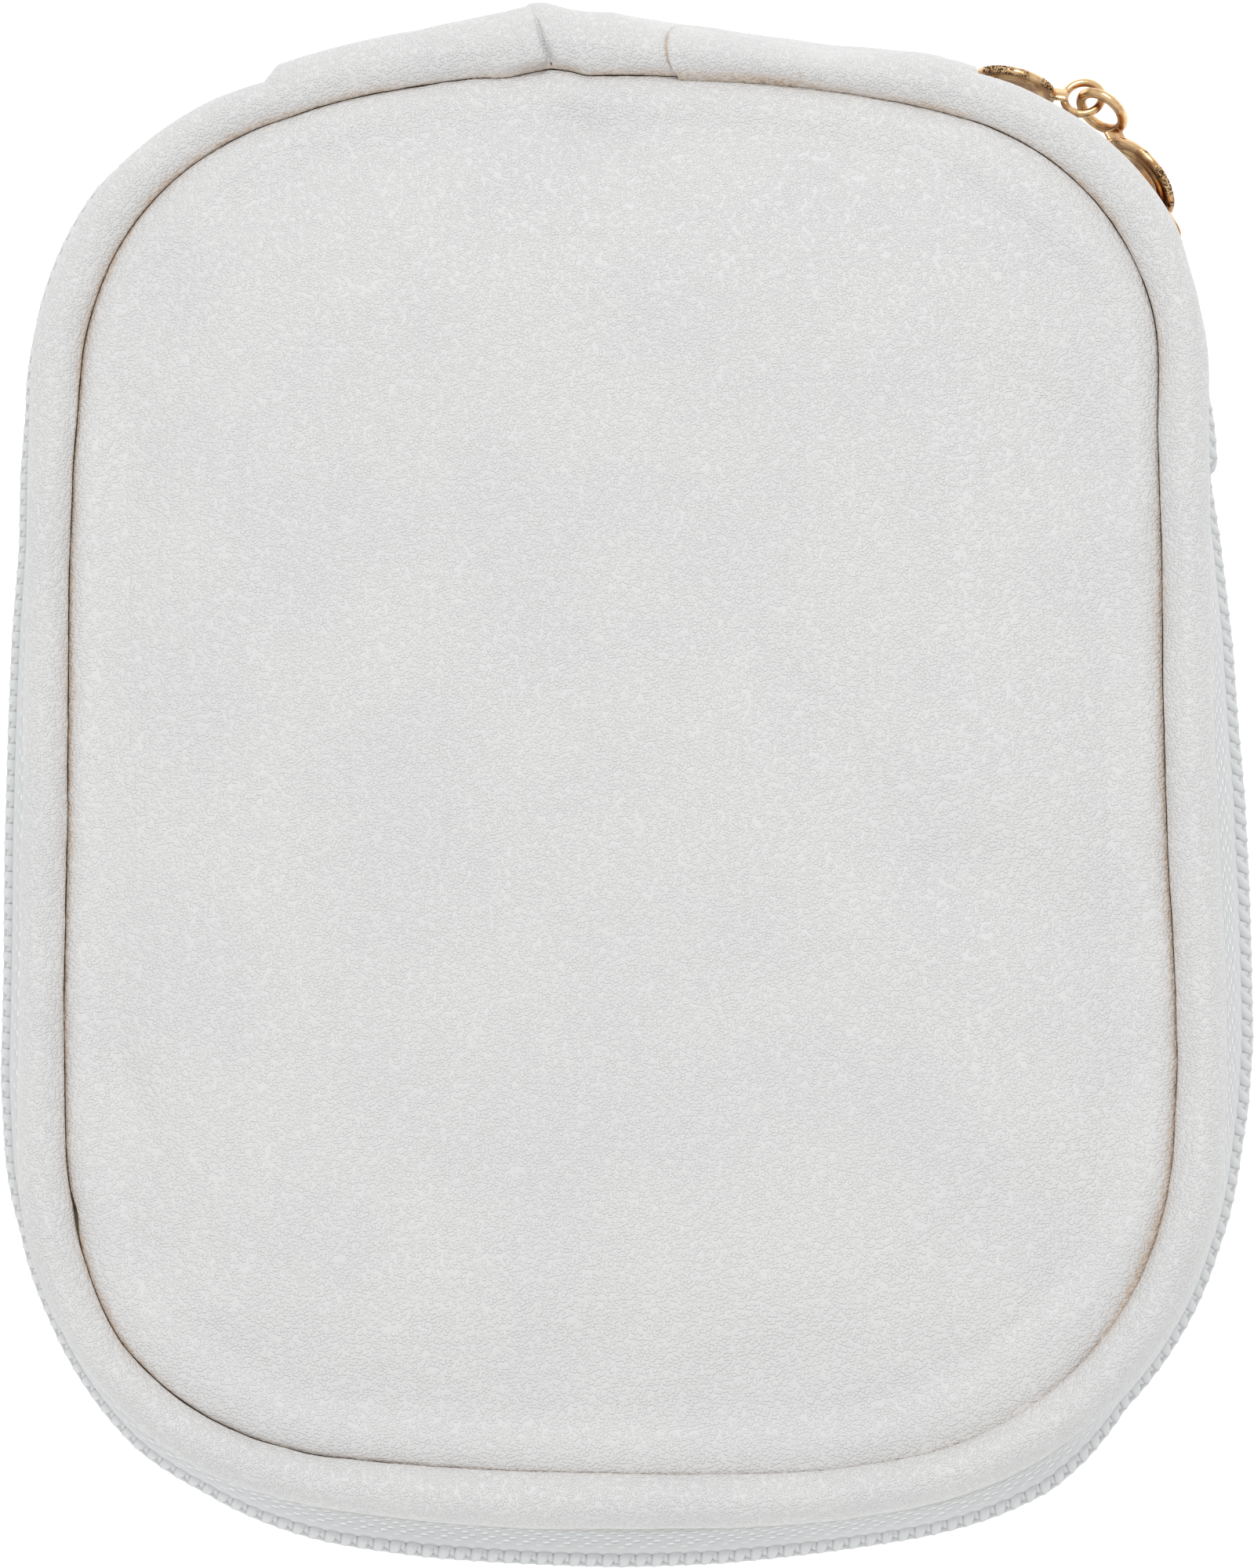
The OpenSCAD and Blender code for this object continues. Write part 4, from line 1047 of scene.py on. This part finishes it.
baseSizes = {"foot": 3.2 * mm, "under": 6 * mm, "leather": 0.8 * mm, "step": 0.8 * mm,
             "wavy": 0.22 * mm, "drawnIn": 0.55 * mm}


def makeLidRing(name, node, material, slotName, rows):
    # a ring inside the rim: rows of share across the rim, and height
    runs = evenRuns(0, seam["length"], 1.0 * mm)[:-1]
    inner, outer = 1.2 * mm, (rimWide(runs) - 0.9 * mm)[:, None]
    rows = np.array(rows)
    outs = inner + rows[None, :, 0] * (outer - inner)
    points = sweepGrid(runs, outs, np.broadcast_to(rows[None, :, 1] * mm, outs.shape))
    piece = newPiece(name, points.reshape(-1, 3), gridFaces(len(runs), len(rows), True, True))
    outward(piece)
    dress(piece, material, slotName)
    return seat(piece, "lid", node)


# the tape is glued into the ring's outer rebate
lidRing = makeLidRing("lidRing", "lid_frame", greyBoard, "card",
                      [(0, 37.65), (0.62, 37.65), (0.62, 42.2), (1, 42.2), (1, 42.35), (0, 42.35)])
rimStuffing = makeLidRing("rimStuffing", "lid_rim_filler", paleFoam, "foam",
                          [(0, 42.42), (1, 42.42), (0.92, 43.2), (0.7, 43.8), (0.45, 44.0), (0.2, 43.7)])


def makeBaseBand():
    s = baseSizes
    runs = evenRuns(0, seam["length"], s["step"])[:-1]
    rows = [(rimOut - 1.3 * mm, baseEdge - 0.35 * mm), (rimOut - 0.75 * mm, baseEdge - 0.04 * mm),
            (rimOut - 0.3 * mm, baseEdge), (rimOut - 0.05 * mm, baseEdge - 0.18 * mm)]
    rows += [(rimOut, h) for h in np.linspace(baseEdge - 0.6 * mm, s["foot"], 26)]
    for a in np.radians(np.linspace(0, 90, 10)[1:]):
        rows.append((rimOut - s["foot"] * (1 - math.cos(a)), s["foot"] * (1 - math.sin(a))))
    rows += [(rimOut - w, 0.0) for w in np.linspace(s["foot"] + 0.6 * mm, s["under"], 5)]
    rows.append((rimOut - s["under"] - 0.02 * mm, s["leather"]))
    rows = np.array(rows)
    heights = rows[:, 1]
    highs = np.broadcast_to(heights[None, :], (len(runs), len(rows)))
    wave = np.array([noiseAt([(math.cos(a) * 8, math.sin(a) * 8, h * 140) for h in heights])
                     for a in 2 * math.pi * runs / seam["length"]])
    slack = ease(heights, 0.5 * mm, 5 * mm) * ease(heights, baseEdge, baseEdge - 3 * mm)
    # drawn in under the slider's corner
    drawn = (ease(runs, 272 * mm, 282 * mm) * (1 - ease(runs, 300 * mm, 312 * mm)))[:, None]
    outs = rows[None, :, 0] + s["wavy"] * wave * slack[None, :] * (1 - drawn)
    outs = outs - s["drawnIn"] * drawn * ease(heights, 16 * mm, baseEdge)[None, :]
    faces = [f[::-1] for f in gridFaces(len(runs), len(rows), loopRows=True)]
    piece = newPiece("baseLeather", sweepGrid(runs, outs, highs).reshape(-1, 3), faces)
    dress(piece, baseLeather, "white_leather", cutEdge)
    thicken(piece, s["leather"], 1)
    return seat(piece, "base", "base_band")


baseBand = makeBaseBand()
print("base leather:", len(baseBand.data.polygons), "faces")


# the slider and its linked pull

def softened(name, node, width, body):
    # a merged copy of a CAD node in gold, with rounded edges
    piece = addObject(name, frame["nodes"][node].data.copy())
    with meshWork(piece) as work:
        bmesh.ops.remove_doubles(work, verts=work.verts, dist=0.002 * mm)
        bmesh.ops.dissolve_limit(work, angle_limit=math.radians(1), verts=work.verts, edges=work.edges)
        bmesh.ops.recalc_face_normals(work, faces=work.faces)
    edge = piece.modifiers.new("edge", "BEVEL")
    edge.width, edge.segments, edge.limit_method, edge.angle_limit = width, 3, "ANGLE", math.radians(30)
    finishModifiers(piece)
    piece.data.shade_smooth()
    dress(piece, pullGold, "gold_plate")
    return seat(piece, body, node)


sliderBody = softened("sliderBody", "slider_body", 0.2 * mm, "slider")
sliderBridge = softened("sliderBridge", "slider_bridge", 0.15 * mm, "slider")
# how far out from the slider's middle the crown's points lie, before and after; mm
crownSizes = {"out": ((0, 2.4, 4.23, 4.83), (0, 2.4, 3.84, 4.22))}


def lowerCrown(piece):
    # the crown is hammered down close to the pull's loop, and droops at both ends
    middle, u = sliderPlace()
    places = vertexPlaces(piece)
    out = (places[:, :2] - middle) @ u
    lowered = np.interp(out / mm, *crownSizes["out"]) * mm
    along = (places[:, :2] - middle) @ np.array([-u[1], u[0]])
    droop = 1.1 * mm * ease(-along, 0.4 * mm, 2.6 * mm) + 0.3 * mm * ease(along, 1.4 * mm, 2.8 * mm)
    lowered -= droop * ease(out, 2.4 * mm, 3.6 * mm)
    places[:, :2] += (lowered - out)[:, None] * np.asarray(u)
    moveVertices(piece, places)


lowerCrown(sliderBridge)
softened("lidTopStop", "lid_top_stop", 0.15 * mm, "lid")
softened("baseTopStop", "base_top_stop", 0.15 * mm, "base")

# places in mm; turn and lean, in degrees, say how each coin and eye stands
pullSizes = {"linkCoin": {"place": (40.68, 47.49, 32.0), "turn": 41.5, "lean": 20.0, "radius": 3.88},
             "linkEye": {"place": (37.92, 53.04, 32.0), "turn": 55.6, "lean": 23.0, "radius": 1.9,
                         "wire": 0.42},
             "loop": {"turn": 29.5, "lean": 20.0, "long": 2.6, "wide": 1.36, "wire": 0.34},
             "pendantCoin": {"place": (30.99, 55.07, 32.0), "turn": 76.3, "lean": 10.0, "radius": 3.44},
             "pendantEye": {"place": (36.45, 54.10, 32.0), "turn": 103.7, "lean": 23.0, "radius": 1.5,
                            "wire": 0.34},
             "half": 0.33, "voxel": 0.07 * mm}


def coinProfile(radius):
    # radius and half thickness of a coin with a rolled border and a raised inner ring, in mm
    r, h = radius, pullSizes["half"]
    return [(0.0, 0.14), (0.30 * r, 0.15), (0.52 * r, 0.18), (0.58 * r, 0.28), (0.63 * r, 0.34),
            (0.68 * r, 0.35), (0.73 * r, 0.29), (0.765 * r, 0.18), (0.80 * r, 0.15), (0.84 * r, 0.16),
            (0.87 * r, 0.24), (0.90 * r, h), (0.94 * r, h + 0.02), (0.975 * r, 0.26), (0.99 * r, 0.14),
            (r, 0.0)]


def standing(part, place=None):
    # where a coin, eye or loop stands, in mm; its own X axis is the coin's
    return (Matrix.Translation(Vector(place or part["place"]))
            @ Matrix.Rotation(math.radians(part["turn"]), 4, "Z")
            @ Matrix.Rotation(math.radians(part["lean"]), 4, "Y"))


def addCoin(work, part):
    # lathe about the coin's axis, both faces
    half = coinProfile(part["radius"])
    profile = half + [(r, -h) for r, h in half[-2::-1]]
    count, place = 96, standing(part)
    rings = []
    for r, h in profile:
        turns = [2 * math.pi * k / count for k in range(count)] if r else [0]
        rings.append([work.verts.new(place @ Vector((h, r * math.cos(a), r * math.sin(a)))) for a in turns])
    for a, b in zip(rings, rings[1:]):
        for k in range(count):
            j = (k + 1) % count
            if len(a) == 1:
                work.faces.new((a[0], b[k], b[j]))
            elif len(b) == 1:
                work.faces.new((a[j], a[k], b[0]))
            else:
                work.faces.new((a[j], a[k], b[k], b[j]))


def addTube(work, path, radius, closed=True, sides=16, flatten=(1, 1)):
    # a wire along points in mm; its cross-section is flatten times the radius
    points = [Vector(p) for p in path]
    count, rings, side = len(points), [], None
    turns = [2 * math.pi * s / sides for s in range(sides)]
    for k, point in enumerate(points):
        before = points[k - 1] if closed or k > 0 else point
        after = points[(k + 1) % count] if closed or k < count - 1 else point
        along = (after - before).normalized()
        side = side or along.orthogonal().normalized()
        side = (side - along * side.dot(along)).normalized()
        other = along.cross(side)
        rings.append([work.verts.new(point + radius * (side * math.cos(a) * flatten[0]
                                                       + other * math.sin(a) * flatten[1])) for a in turns])
    for k in range(count if closed else count - 1):
        a, b = rings[k], rings[(k + 1) % count]
        for s in range(sides):
            t = (s + 1) % sides
            work.faces.new((a[s], a[t], b[t], b[s]))
    if not closed:
        work.faces.new(rings[0][::-1])
        work.faces.new(rings[-1])


def eyePath(part, flat=False, count=64):
    place, r = standing(part), part["radius"]
    turns = [2 * math.pi * k / count for k in range(count)]
    if flat:
        return [place @ Vector((r * math.sin(a), r * math.cos(a), 0)) for a in turns]
    return [place @ Vector((0, r * math.cos(a), r * math.sin(a))) for a in turns]


def loopPath(pivot, loop, corner=0.7, count=6):
    # a loop round the slider's bridge, with round corners
    place = standing(loop, pivot)
    far, half, points = loop["long"], loop["wide"], []
    for cy, cz, start in ((far - corner, half - corner, 0), (corner, half - corner, 90),
                          (corner, corner - half, 180), (far - corner, corner - half, 270)):
        for k in range(count + 1):
            a = math.radians(start + 90 * k / count)
            points.append(place @ Vector((0, cy + corner * math.cos(a), cz + corner * math.sin(a))))
    return points


def neckPath(first, second, firstReach, secondReach):
    # from inside one round to inside the other
    a, b = Vector(first["place"]), Vector(second["place"])
    along = (b - a).normalized()
    start, end = a + along * firstReach, b - along * secondReach
    return [start.lerp(end, k / 3) for k in range(4)]


def castPull(name, build, node, body, coin):
    # the parts are cast into one skin, then their edges are polished round
    work = bmesh.new()
    build(work, pullSizes)
    for v in work.verts:
        v.co *= mm
    bmesh.ops.recalc_face_normals(work, faces=work.faces)
    mesh = bpy.data.meshes.new(name)
    work.to_mesh(mesh)
    work.free()
    piece = addObject(name, mesh)
    cast = piece.modifiers.new("cast", "REMESH")
    cast.mode, cast.voxel_size = "VOXEL", pullSizes["voxel"]
    polish = piece.modifiers.new("polish", "SMOOTH")
    polish.factor, polish.iterations = 0.5, 6
    finishModifiers(piece)
    places = vertexPlaces(piece)
    turned = np.array(standing(coin).inverted())
    local = places / mm @ turned[:3, :3].T + turned[:3, 3]
    r = np.hypot(local[:, 1], local[:, 2]) / coin["radius"]
    inCoin = (r < 1.05) & (np.abs(local[:, 0]) < 0.8)
    upper = ease(local[:, 2], -1.4, 1.8)
    wear = inCoin * ease(r, 0.84, 0.95) * (0.3 + 0.7 * upper)
    # painted shade: the coin's groove and middle are marked to be darkened
    groove = ease(r, 0.74, 0.79) * (1 - ease(r, 0.84, 0.89))
    hollow = inCoin * (groove + 0.6 * (1 - ease(r, 0.5, 0.58)))
    wear = np.clip(wear * ease(noiseAt(places * 900), -0.15, 0.25), 0, 1)
    rough = noiseAt(places * 5200)
    normals = np.empty(len(places) * 3)
    piece.data.vertices.foreach_get("normal", normals)
    moveVertices(piece, places + normals.reshape(-1, 3) * (rough * wear * 0.02 * mm)[:, None])
    paint(piece, "wear", wear)
    paint(piece, "hollow", hollow)
    piece.data.shade_smooth()
    dress(piece, pullGold, "gold_plate")
    return seat(piece, body, node)


def buildLink(work, p):
    addCoin(work, p["linkCoin"])
    addTube(work, eyePath(p["linkEye"]), p["linkEye"]["wire"])
    addTube(work, loopPath(Vector(joints["link_flip"]["pos_m"]) / mm, p["loop"]), p["loop"]["wire"])
    neck = neckPath(p["linkCoin"], p["linkEye"], 3.2, 1.8)
    addTube(work, neck, 0.36, closed=False, flatten=(1.0, 3.0))


def buildPendant(work, p):
    addCoin(work, p["pendantCoin"])
    addTube(work, eyePath(p["pendantEye"], flat=True), p["pendantEye"]["wire"])
    neck = neckPath(p["pendantCoin"], p["pendantEye"], 2.9, 1.3)
    addTube(work, neck, 0.34, closed=False, flatten=(1.0, 2.2))


pullLink = castPull("pullLink", buildLink, "pull_link", "link", pullSizes["linkCoin"])
pullPendant = castPull("pullPendant", buildPendant, "pull_pendant", "pendant", pullSizes["pendantCoin"])
print("pull:", len(pullLink.data.polygons), "and", len(pullPendant.data.polygons), "faces")


# inside the case

insideSizes = {"lining": 0.8 * mm, "wallOut": 1.2 * mm, "wallIn": 0.4 * mm, "fillet": 2.2 * mm,
               "hills": 0.10 * mm, "cloth": 0.6 * mm,
               "rollVoxel": 1.5 * mm, "rollShrink": 0.35 * mm, "rollCap": 0.35 * mm, "rollPressure": 4.0}


def dish(rows, rings, floor):
    # wall rows of out and height round the seam, then rings in to the middle of the floor
    runs = np.linspace(0, seam["length"], 361)[:-1]
    count = len(runs)
    flat = np.stack([seamAt(runs, np.full(count, out)) for out, _ in rows])
    highs = np.repeat(np.array([h for _, h in rows])[:, None], count, 1)
    more = np.stack([flat[-1] * (1 - k / rings) for k in range(1, rings)])
    flat, highs = np.concatenate([flat, more]), np.concatenate([highs, np.full(more.shape[:2], floor)])
    points = np.concatenate([flat, highs[..., None]], -1).reshape(-1, 3)
    faces = gridFaces(len(flat), count, loopColumns=True)
    last = (len(flat) - 1) * count
    faces += [(last + j, last + (j + 1) % count, len(points)) for j in range(count)]
    return points, faces, count


def liningShell(name, top, floor, side, body, node):
    # a wall with a soft fillet into a floor; side is 1 for the tray and -1 for the lid
    s = insideSizes
    rows = [(s["wallOut"], top - side * 0.5 * mm), (s["wallOut"] - 0.05 * mm, top - side * 0.12 * mm),
            (s["wallOut"] - 0.3 * mm, top), (s["wallIn"] + 0.12 * mm, top - side * 0.1 * mm)]
    fillet = min(s["fillet"], 0.8 * abs(top - floor))
    rows += [(s["wallIn"], h) for h in np.linspace(top - side * 0.5 * mm, floor + side * fillet, 8)]
    for a in np.radians((18, 36, 54, 72, 90)):
        rows.append((s["wallIn"] - fillet * (1 - math.cos(a)), floor + side * fillet * (1 - math.sin(a))))
    points, faces, _ = dish(rows, 34, floor)
    bumps = noiseAt([(p[0] * 130, p[1] * 130, p[2] * 130 + 3) for p in points])
    points[:, 2] += side * s["hills"] * bumps * ease(np.abs(points[:, 2] - top), 0.5 * mm, 2 * mm)
    points = np.concatenate([points, [[0, 0, floor]]])
    piece = newPiece(name, points, [f[::-1] if side < 0 else f for f in faces])
    outward(piece)
    if piece.data.polygons[len(piece.data.polygons) - 1].normal.z * side < 0:
        piece.data.flip_normals()
    thicken(piece, s["cloth"])
    dress(piece, trayVelvet, "velvet")
    return seat(piece, body, node)


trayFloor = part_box("base_lining")[0][2] + insideSizes["lining"]
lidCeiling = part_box("lid_lining")[1][2] - insideSizes["lining"]
trayLining = liningShell("trayLining", baseEdge, trayFloor, 1, "base", "base_lining")
lidLining = liningShell("lidLining", lidEdge, lidCeiling, -1, "lid", "lid_lining")


def makeRoll(node):
    # a foam roll in velvet: a round bar with soft ends, puffed by cloth
    low, high = Vector(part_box(node)[0]), Vector(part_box(node)[1])
    s = insideSizes
    shrink = s["rollShrink"]
    length, width, height = high.x - low.x, high.y - low.y - 2 * shrink, high.z - low.z - shrink
    half, straight = width / 2, height - width / 2
    section = [(-half + width * k / 8, 0.0) for k in range(9)]
    section += [(half, straight * k / 5) for k in range(1, 6)]
    section += [(half * math.cos(math.pi * k / 16), straight + half * math.sin(math.pi * k / 16))
                for k in range(1, 16)]
    section += [(-half, straight * k / 5) for k in range(5, 0, -1)]
    section = np.array(section)
    ends = np.array([0.0, 0.25, 0.7, 1.4, 2.3]) * mm
    middle = np.linspace(3.6 * mm, length - 3.6 * mm, int(length / (1.6 * mm)))
    centre = np.array([0, height * 0.5])
    rings = []
    for x in np.concatenate([ends, middle, length - ends[::-1]]):
        edge = min(x, length - x) / (2.6 * mm)
        scale = 1 if edge >= 1 else math.sqrt(max(0.0, 1 - (1 - edge) ** 2)) * 0.28 + 0.72
        ring = centre + (section - centre) * scale
        ring[:, 1] = np.where(section[:, 1] == 0, 0, ring[:, 1])
        along = np.full(len(ring), low.x + 0.1 * mm + x * (length - 0.2 * mm) / length)
        rings.append(np.stack([along, (low.y + high.y) / 2 + ring[:, 0], low.z + ring[:, 1]], 1))
    points, count = np.concatenate(rings), len(section)
    faces = gridFaces(len(rings), count, loopColumns=True)
    faces += [tuple(range(count))[::-1], tuple(range(len(points) - count, len(points)))]
    piece = newPiece("ringRoll" + node[-1], points, faces)
    outward(piece)
    even = piece.modifiers.new("even", "REMESH")
    even.mode, even.voxel_size = "VOXEL", s["rollVoxel"]
    finishModifiers(piece)
    start = vertexPlaces(piece)
    glued = [i for i, p in enumerate(start) if p[2] < low.z + 0.8 * mm]
    puff(piece, start, glued, 12, s["rollCap"], quality=5, mass=0.3,
         uniform_pressure_force=s["rollPressure"])
    subdivide(piece)
    places = vertexPlaces(piece)
    places[:, 2] = np.maximum(places[:, 2], low.z)
    for k in (1, 0):
        places[:, k] = np.clip(places[:, k], low[k] + 0.02 * mm, high[k] - 0.02 * mm)
    moveVertices(piece, places)
    piece.data.shade_smooth()
    dress(piece, trayVelvet, "velvet")
    seat(piece, "base", node)
    return piece


for number in range(1, 6):
    makeRoll("ring_roll_%d" % number)
print("ring rolls made")


def makeDivider(name, node):
    # velvet over card: a thin wall with soft edges
    low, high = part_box(node)
    size = [high[k] - low[k] for k in range(3)]
    long = 0 if size[0] > size[1] else 1
    across = 1 - long
    half, tall = size[across] / 2, size[2]
    wall = [0, 0.25 * tall, 0.5 * tall, 0.75 * tall, tall - half]
    section = [(-half, h) for h in wall]
    for a in np.radians(range(165, 0, -15)):
        section.append((half * math.cos(a), tall - half + half * math.sin(a)))
    section += [(half, h) for h in wall[::-1]]
    count, steps = len(section), int(size[long] / (1.5 * mm))
    points = []
    for k in range(steps + 1):
        for w, h in section:
            p = [0, 0, low[2] + h]
            p[long] = low[long] + size[long] * k / steps
            swell = 0.06 * mm * noise.noise(Vector((p[long] * 160, h * 160, w * 900)))
            p[across] = (low[across] + high[across]) / 2 + w * 0.95 + swell * (abs(w) > 0.3 * mm)
            p[2] -= 0.12 * mm * (0.5 + 0.5 * noise.noise(Vector((p[long] * 90, 3, 3)))) * (h > tall - half)
            points.append(p)
    faces = gridFaces(steps + 1, count)
    faces += [tuple(range(count)), tuple(range(len(points) - count, len(points)))[::-1]]
    faces += [(k * count, (k + 1) * count, (k + 2) * count - 1, (k + 1) * count - 1) for k in range(steps)]
    piece = newPiece(name, points, faces)
    outward(piece)
    dress(piece, trayVelvet, "velvet")
    return seat(piece, "base", node)


for kind in ("cross", "long", "short"):
    makeDivider(kind + "Divider", kind + "_divider")
print("dividers made")


# the gathered pocket in the lid

pocketSizes = {"inset": 6 * mm, "mouth": -8 * mm, "pleat": 3.4 * mm, "deep": 0.55 * mm, "cloth": 0.35 * mm}


def gathers(xs):
    # the pleats' phase along the pocket's mouth, and how they roam
    return 2 * math.pi * xs / pocketSizes["pleat"], ripple(xs, 21, 11 * mm) * 1.6


def makePocket():
    s = pocketSizes
    low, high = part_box("lid_pocket")
    ceiling, belly = high[2], low[2]
    columns, rows = 440, 60
    edge = seamAt(np.linspace(0, seam["length"], 4001)[:-1], np.full(4000, -s["inset"]))
    upper = edge[edge[:, 1] > s["mouth"]]
    xs = np.linspace(low[0] + 0.01 * mm, high[0] - 0.01 * mm, columns)
    near = [upper[np.abs(upper[:, 0] - x) < 0.4 * mm][:, 1] for x in xs]
    backs = np.array([found.max() if len(found) else s["mouth"] for found in near])
    share = np.linspace(0, 1, rows)
    y = s["mouth"] + (backs[:, None] - s["mouth"]) * share[None, :]
    x = np.broadcast_to(xs[:, None], y.shape)
    side, back = np.minimum(x - low[0], high[0] - x), backs[:, None] - y
    hang = np.sqrt(ease(side, 0, 9 * mm)) * np.sqrt(ease(back, 0, 16 * mm))
    phase, roam = gathers(xs)
    wave = np.sin(phase + roam)[:, None]
    second = np.sin(phase / 1.73 + 2 + 1.3 * roam)[:, None]
    fade = 1 - 0.8 * ease(share, 0.05, 0.8)[None, :]
    # the gathers meet the ceiling with the seam, and are deepest at the elastic
    gather = s["deep"] * (0.7 * wave + 0.3 * second) * fade * ease(side, 0, 3 * mm) * ease(back, 0, 3 * mm)
    z = ceiling - 0.05 * mm - (ceiling - belly - s["deep"] - 0.1 * mm) * hang + gather
    drawn = 0.35 * mm * (0.7 * np.cos(phase + roam))[:, None] * fade
    points = np.stack([x + drawn * ease(side, 0, 2 * mm), y, z], -1).reshape(-1, 3)
    piece = newPiece("lidPocket", points, [f[::-1] for f in gridFaces(columns, rows)])
    if piece.data.polygons[columns * rows // 2].normal.z > 0:
        piece.data.flip_normals()
    thicken(piece, s["cloth"])
    dress(piece, trayVelvet, "velvet")
    seat(piece, "lid", "lid_pocket")
    return piece


lidPocket = makePocket()


def makeElastic():
    # a ruched band along the pocket's mouth
    low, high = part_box("lid_pocket_elastic")
    columns, sides = 420, 20
    xs = np.linspace(low[0], high[0], columns)
    phase, roam = gathers(xs)
    middleZ, halfT = (low[2] + high[2]) / 2, (high[2] - low[2]) / 2
    middleY, halfW = (low[1] + high[1]) / 2, (high[1] - low[1]) / 2
    rings = []
    ends = ease(np.minimum(xs - low[0], high[0] - xs), 0, 1.2 * mm)
    for k in range(sides):
        a = 2 * math.pi * k / sides
        c, t = math.cos(a), math.sin(a)
        square = 1 / max(abs(c), abs(t)) ** 0.6
        w, h = halfW * c * square * 0.92, halfT * t * square * 0.55
        ruche = 0.22 * mm * np.sin(2 * phase + 2 * roam + 0.4 * c)
        y = middleY + w * (0.55 + 0.45 * ends) + 0.12 * mm * np.sin(phase + c)
        rings.append(np.stack([xs, y, middleZ + (h + ruche) * (0.4 + 0.6 * ends)], -1))
    points = np.stack(rings, 1).reshape(-1, 3)
    faces = gridFaces(columns, sides, loopColumns=True)
    faces += [tuple(range(sides)), tuple(range(len(points) - sides, len(points)))[::-1]]
    piece = newPiece("pocketElastic", points, faces)
    outward(piece)
    dress(piece, trayVelvet, "velvet")
    return seat(piece, "lid", "lid_pocket_elastic")


pocketElastic = makeElastic()


# the leather under the case, and grey board for the boards and the frame inside it

def makeUnderPanel():
    low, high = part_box("base_panel")
    inset = seam["halfW"] - high[0]
    top, bottom = high[2], low[2]
    rows = [(-inset, top), (-inset, 0.5 * (top + bottom)), (-inset - 0.12 * mm, bottom + 0.12 * mm),
            (-inset - 0.35 * mm, bottom + 0.02 * mm)]
    points, faces, count = dish(rows, 30, bottom)
    faces += [((j + 1) % count, j, len(points) + 1) for j in range(count)]
    piece = newPiece("underPanel", np.concatenate([points, [[0, 0, bottom], [0, 0, top]]]), faces)
    outward(piece)
    dress(piece, baseLeather, "white_leather")
    return seat(piece, "base", "base_panel")


underPanel = makeUnderPanel()

for node, material in (("lid_board", greyBoard), ("base_board", greyBoard), ("base_frame", greyBoard)):
    carried = frame["nodes"][node]
    carried.data.materials.clear()
    carried.data.materials.append(material)
print("inside made")


# floor, light and camera

studio = {"floorGlow": 2.3, "floor": (0.37, 0.37, 0.37, 1), "floorHalf": 3.0,
          "world": (1.0, 1.0, 1.0, 1), "worldStrength": 0.78,
          "target": (1.1, -1.65, 43.7), "camera": (33.8, -53.7, 485.5), "lens": 167.35,
          "sensor": 36.0,
          # name, place in metres, size, power
          "lights": [("skyPanel", (0.10, 0.55, 0.9), 0.6, 3.6), ("leftPanel", (-0.6, -0.6, 0.6), 0.5, 0.8)]}


def areaLight(name, place, aim, size, power):
    light = bpy.data.lights.new(name, "AREA")
    light.shape, light.size, light.energy = "DISK", size, power
    lamp = addObject(name, light)
    lamp.location = place
    lamp.rotation_euler = (Vector(aim) - Vector(place)).to_track_quat("-Z", "Y").to_euler()


def makeStudio():
    s = studio
    paper, shader = newMaterial("floorPaper", {"Roughness": 0.9, "Base Color": s["floor"],
                                               "Emission Color": s["floor"],
                                               "Emission Strength": s["floorGlow"]})
    fibres = wire(paper, "ShaderNodeTexNoise", {"Scale": 400.0, "Detail": 4.0}).outputs["Fac"]
    surface(paper, shader, None, [(fibres, 0.02 * mm)])
    w = s["floorHalf"]
    floor = newPiece("studioFloor", [(-w, -w, 0), (w, -w, 0), (w, w, 0), (-w, w, 0)], [(0, 1, 2, 3)])
    floor.data.materials.append(paper)
    scene, world = bpy.context.scene, bpy.data.worlds.new("studioWorld")
    scene.world = world
    world.use_nodes = True
    background = world.node_tree.nodes["Background"]
    background.inputs[0].default_value = s["world"]
    background.inputs[1].default_value = s["worldStrength"]
    for name, place, size, power in s["lights"]:
        areaLight(name, place, (0, 0, 0.03), size, power)
    scene.view_settings.view_transform = "Standard"
    target, place = Vector(s["target"]) * mm, Vector(s["camera"]) * mm
    camera = bpy.data.cameras.new("camera")
    camera.lens, camera.sensor_width, camera.sensor_fit = s["lens"], s["sensor"], "HORIZONTAL"
    camera.clip_start = 0.01
    holder = addObject("camera", camera)
    back = (place - target).normalized()
    upward = (Vector((0, 1, 0)) - back * back.y).normalized()
    holder.matrix_world = Matrix((upward.cross(back), upward, back)).transposed().to_4x4()
    holder.location = place
    scene.camera = holder


makeStudio()
print("studio ready")
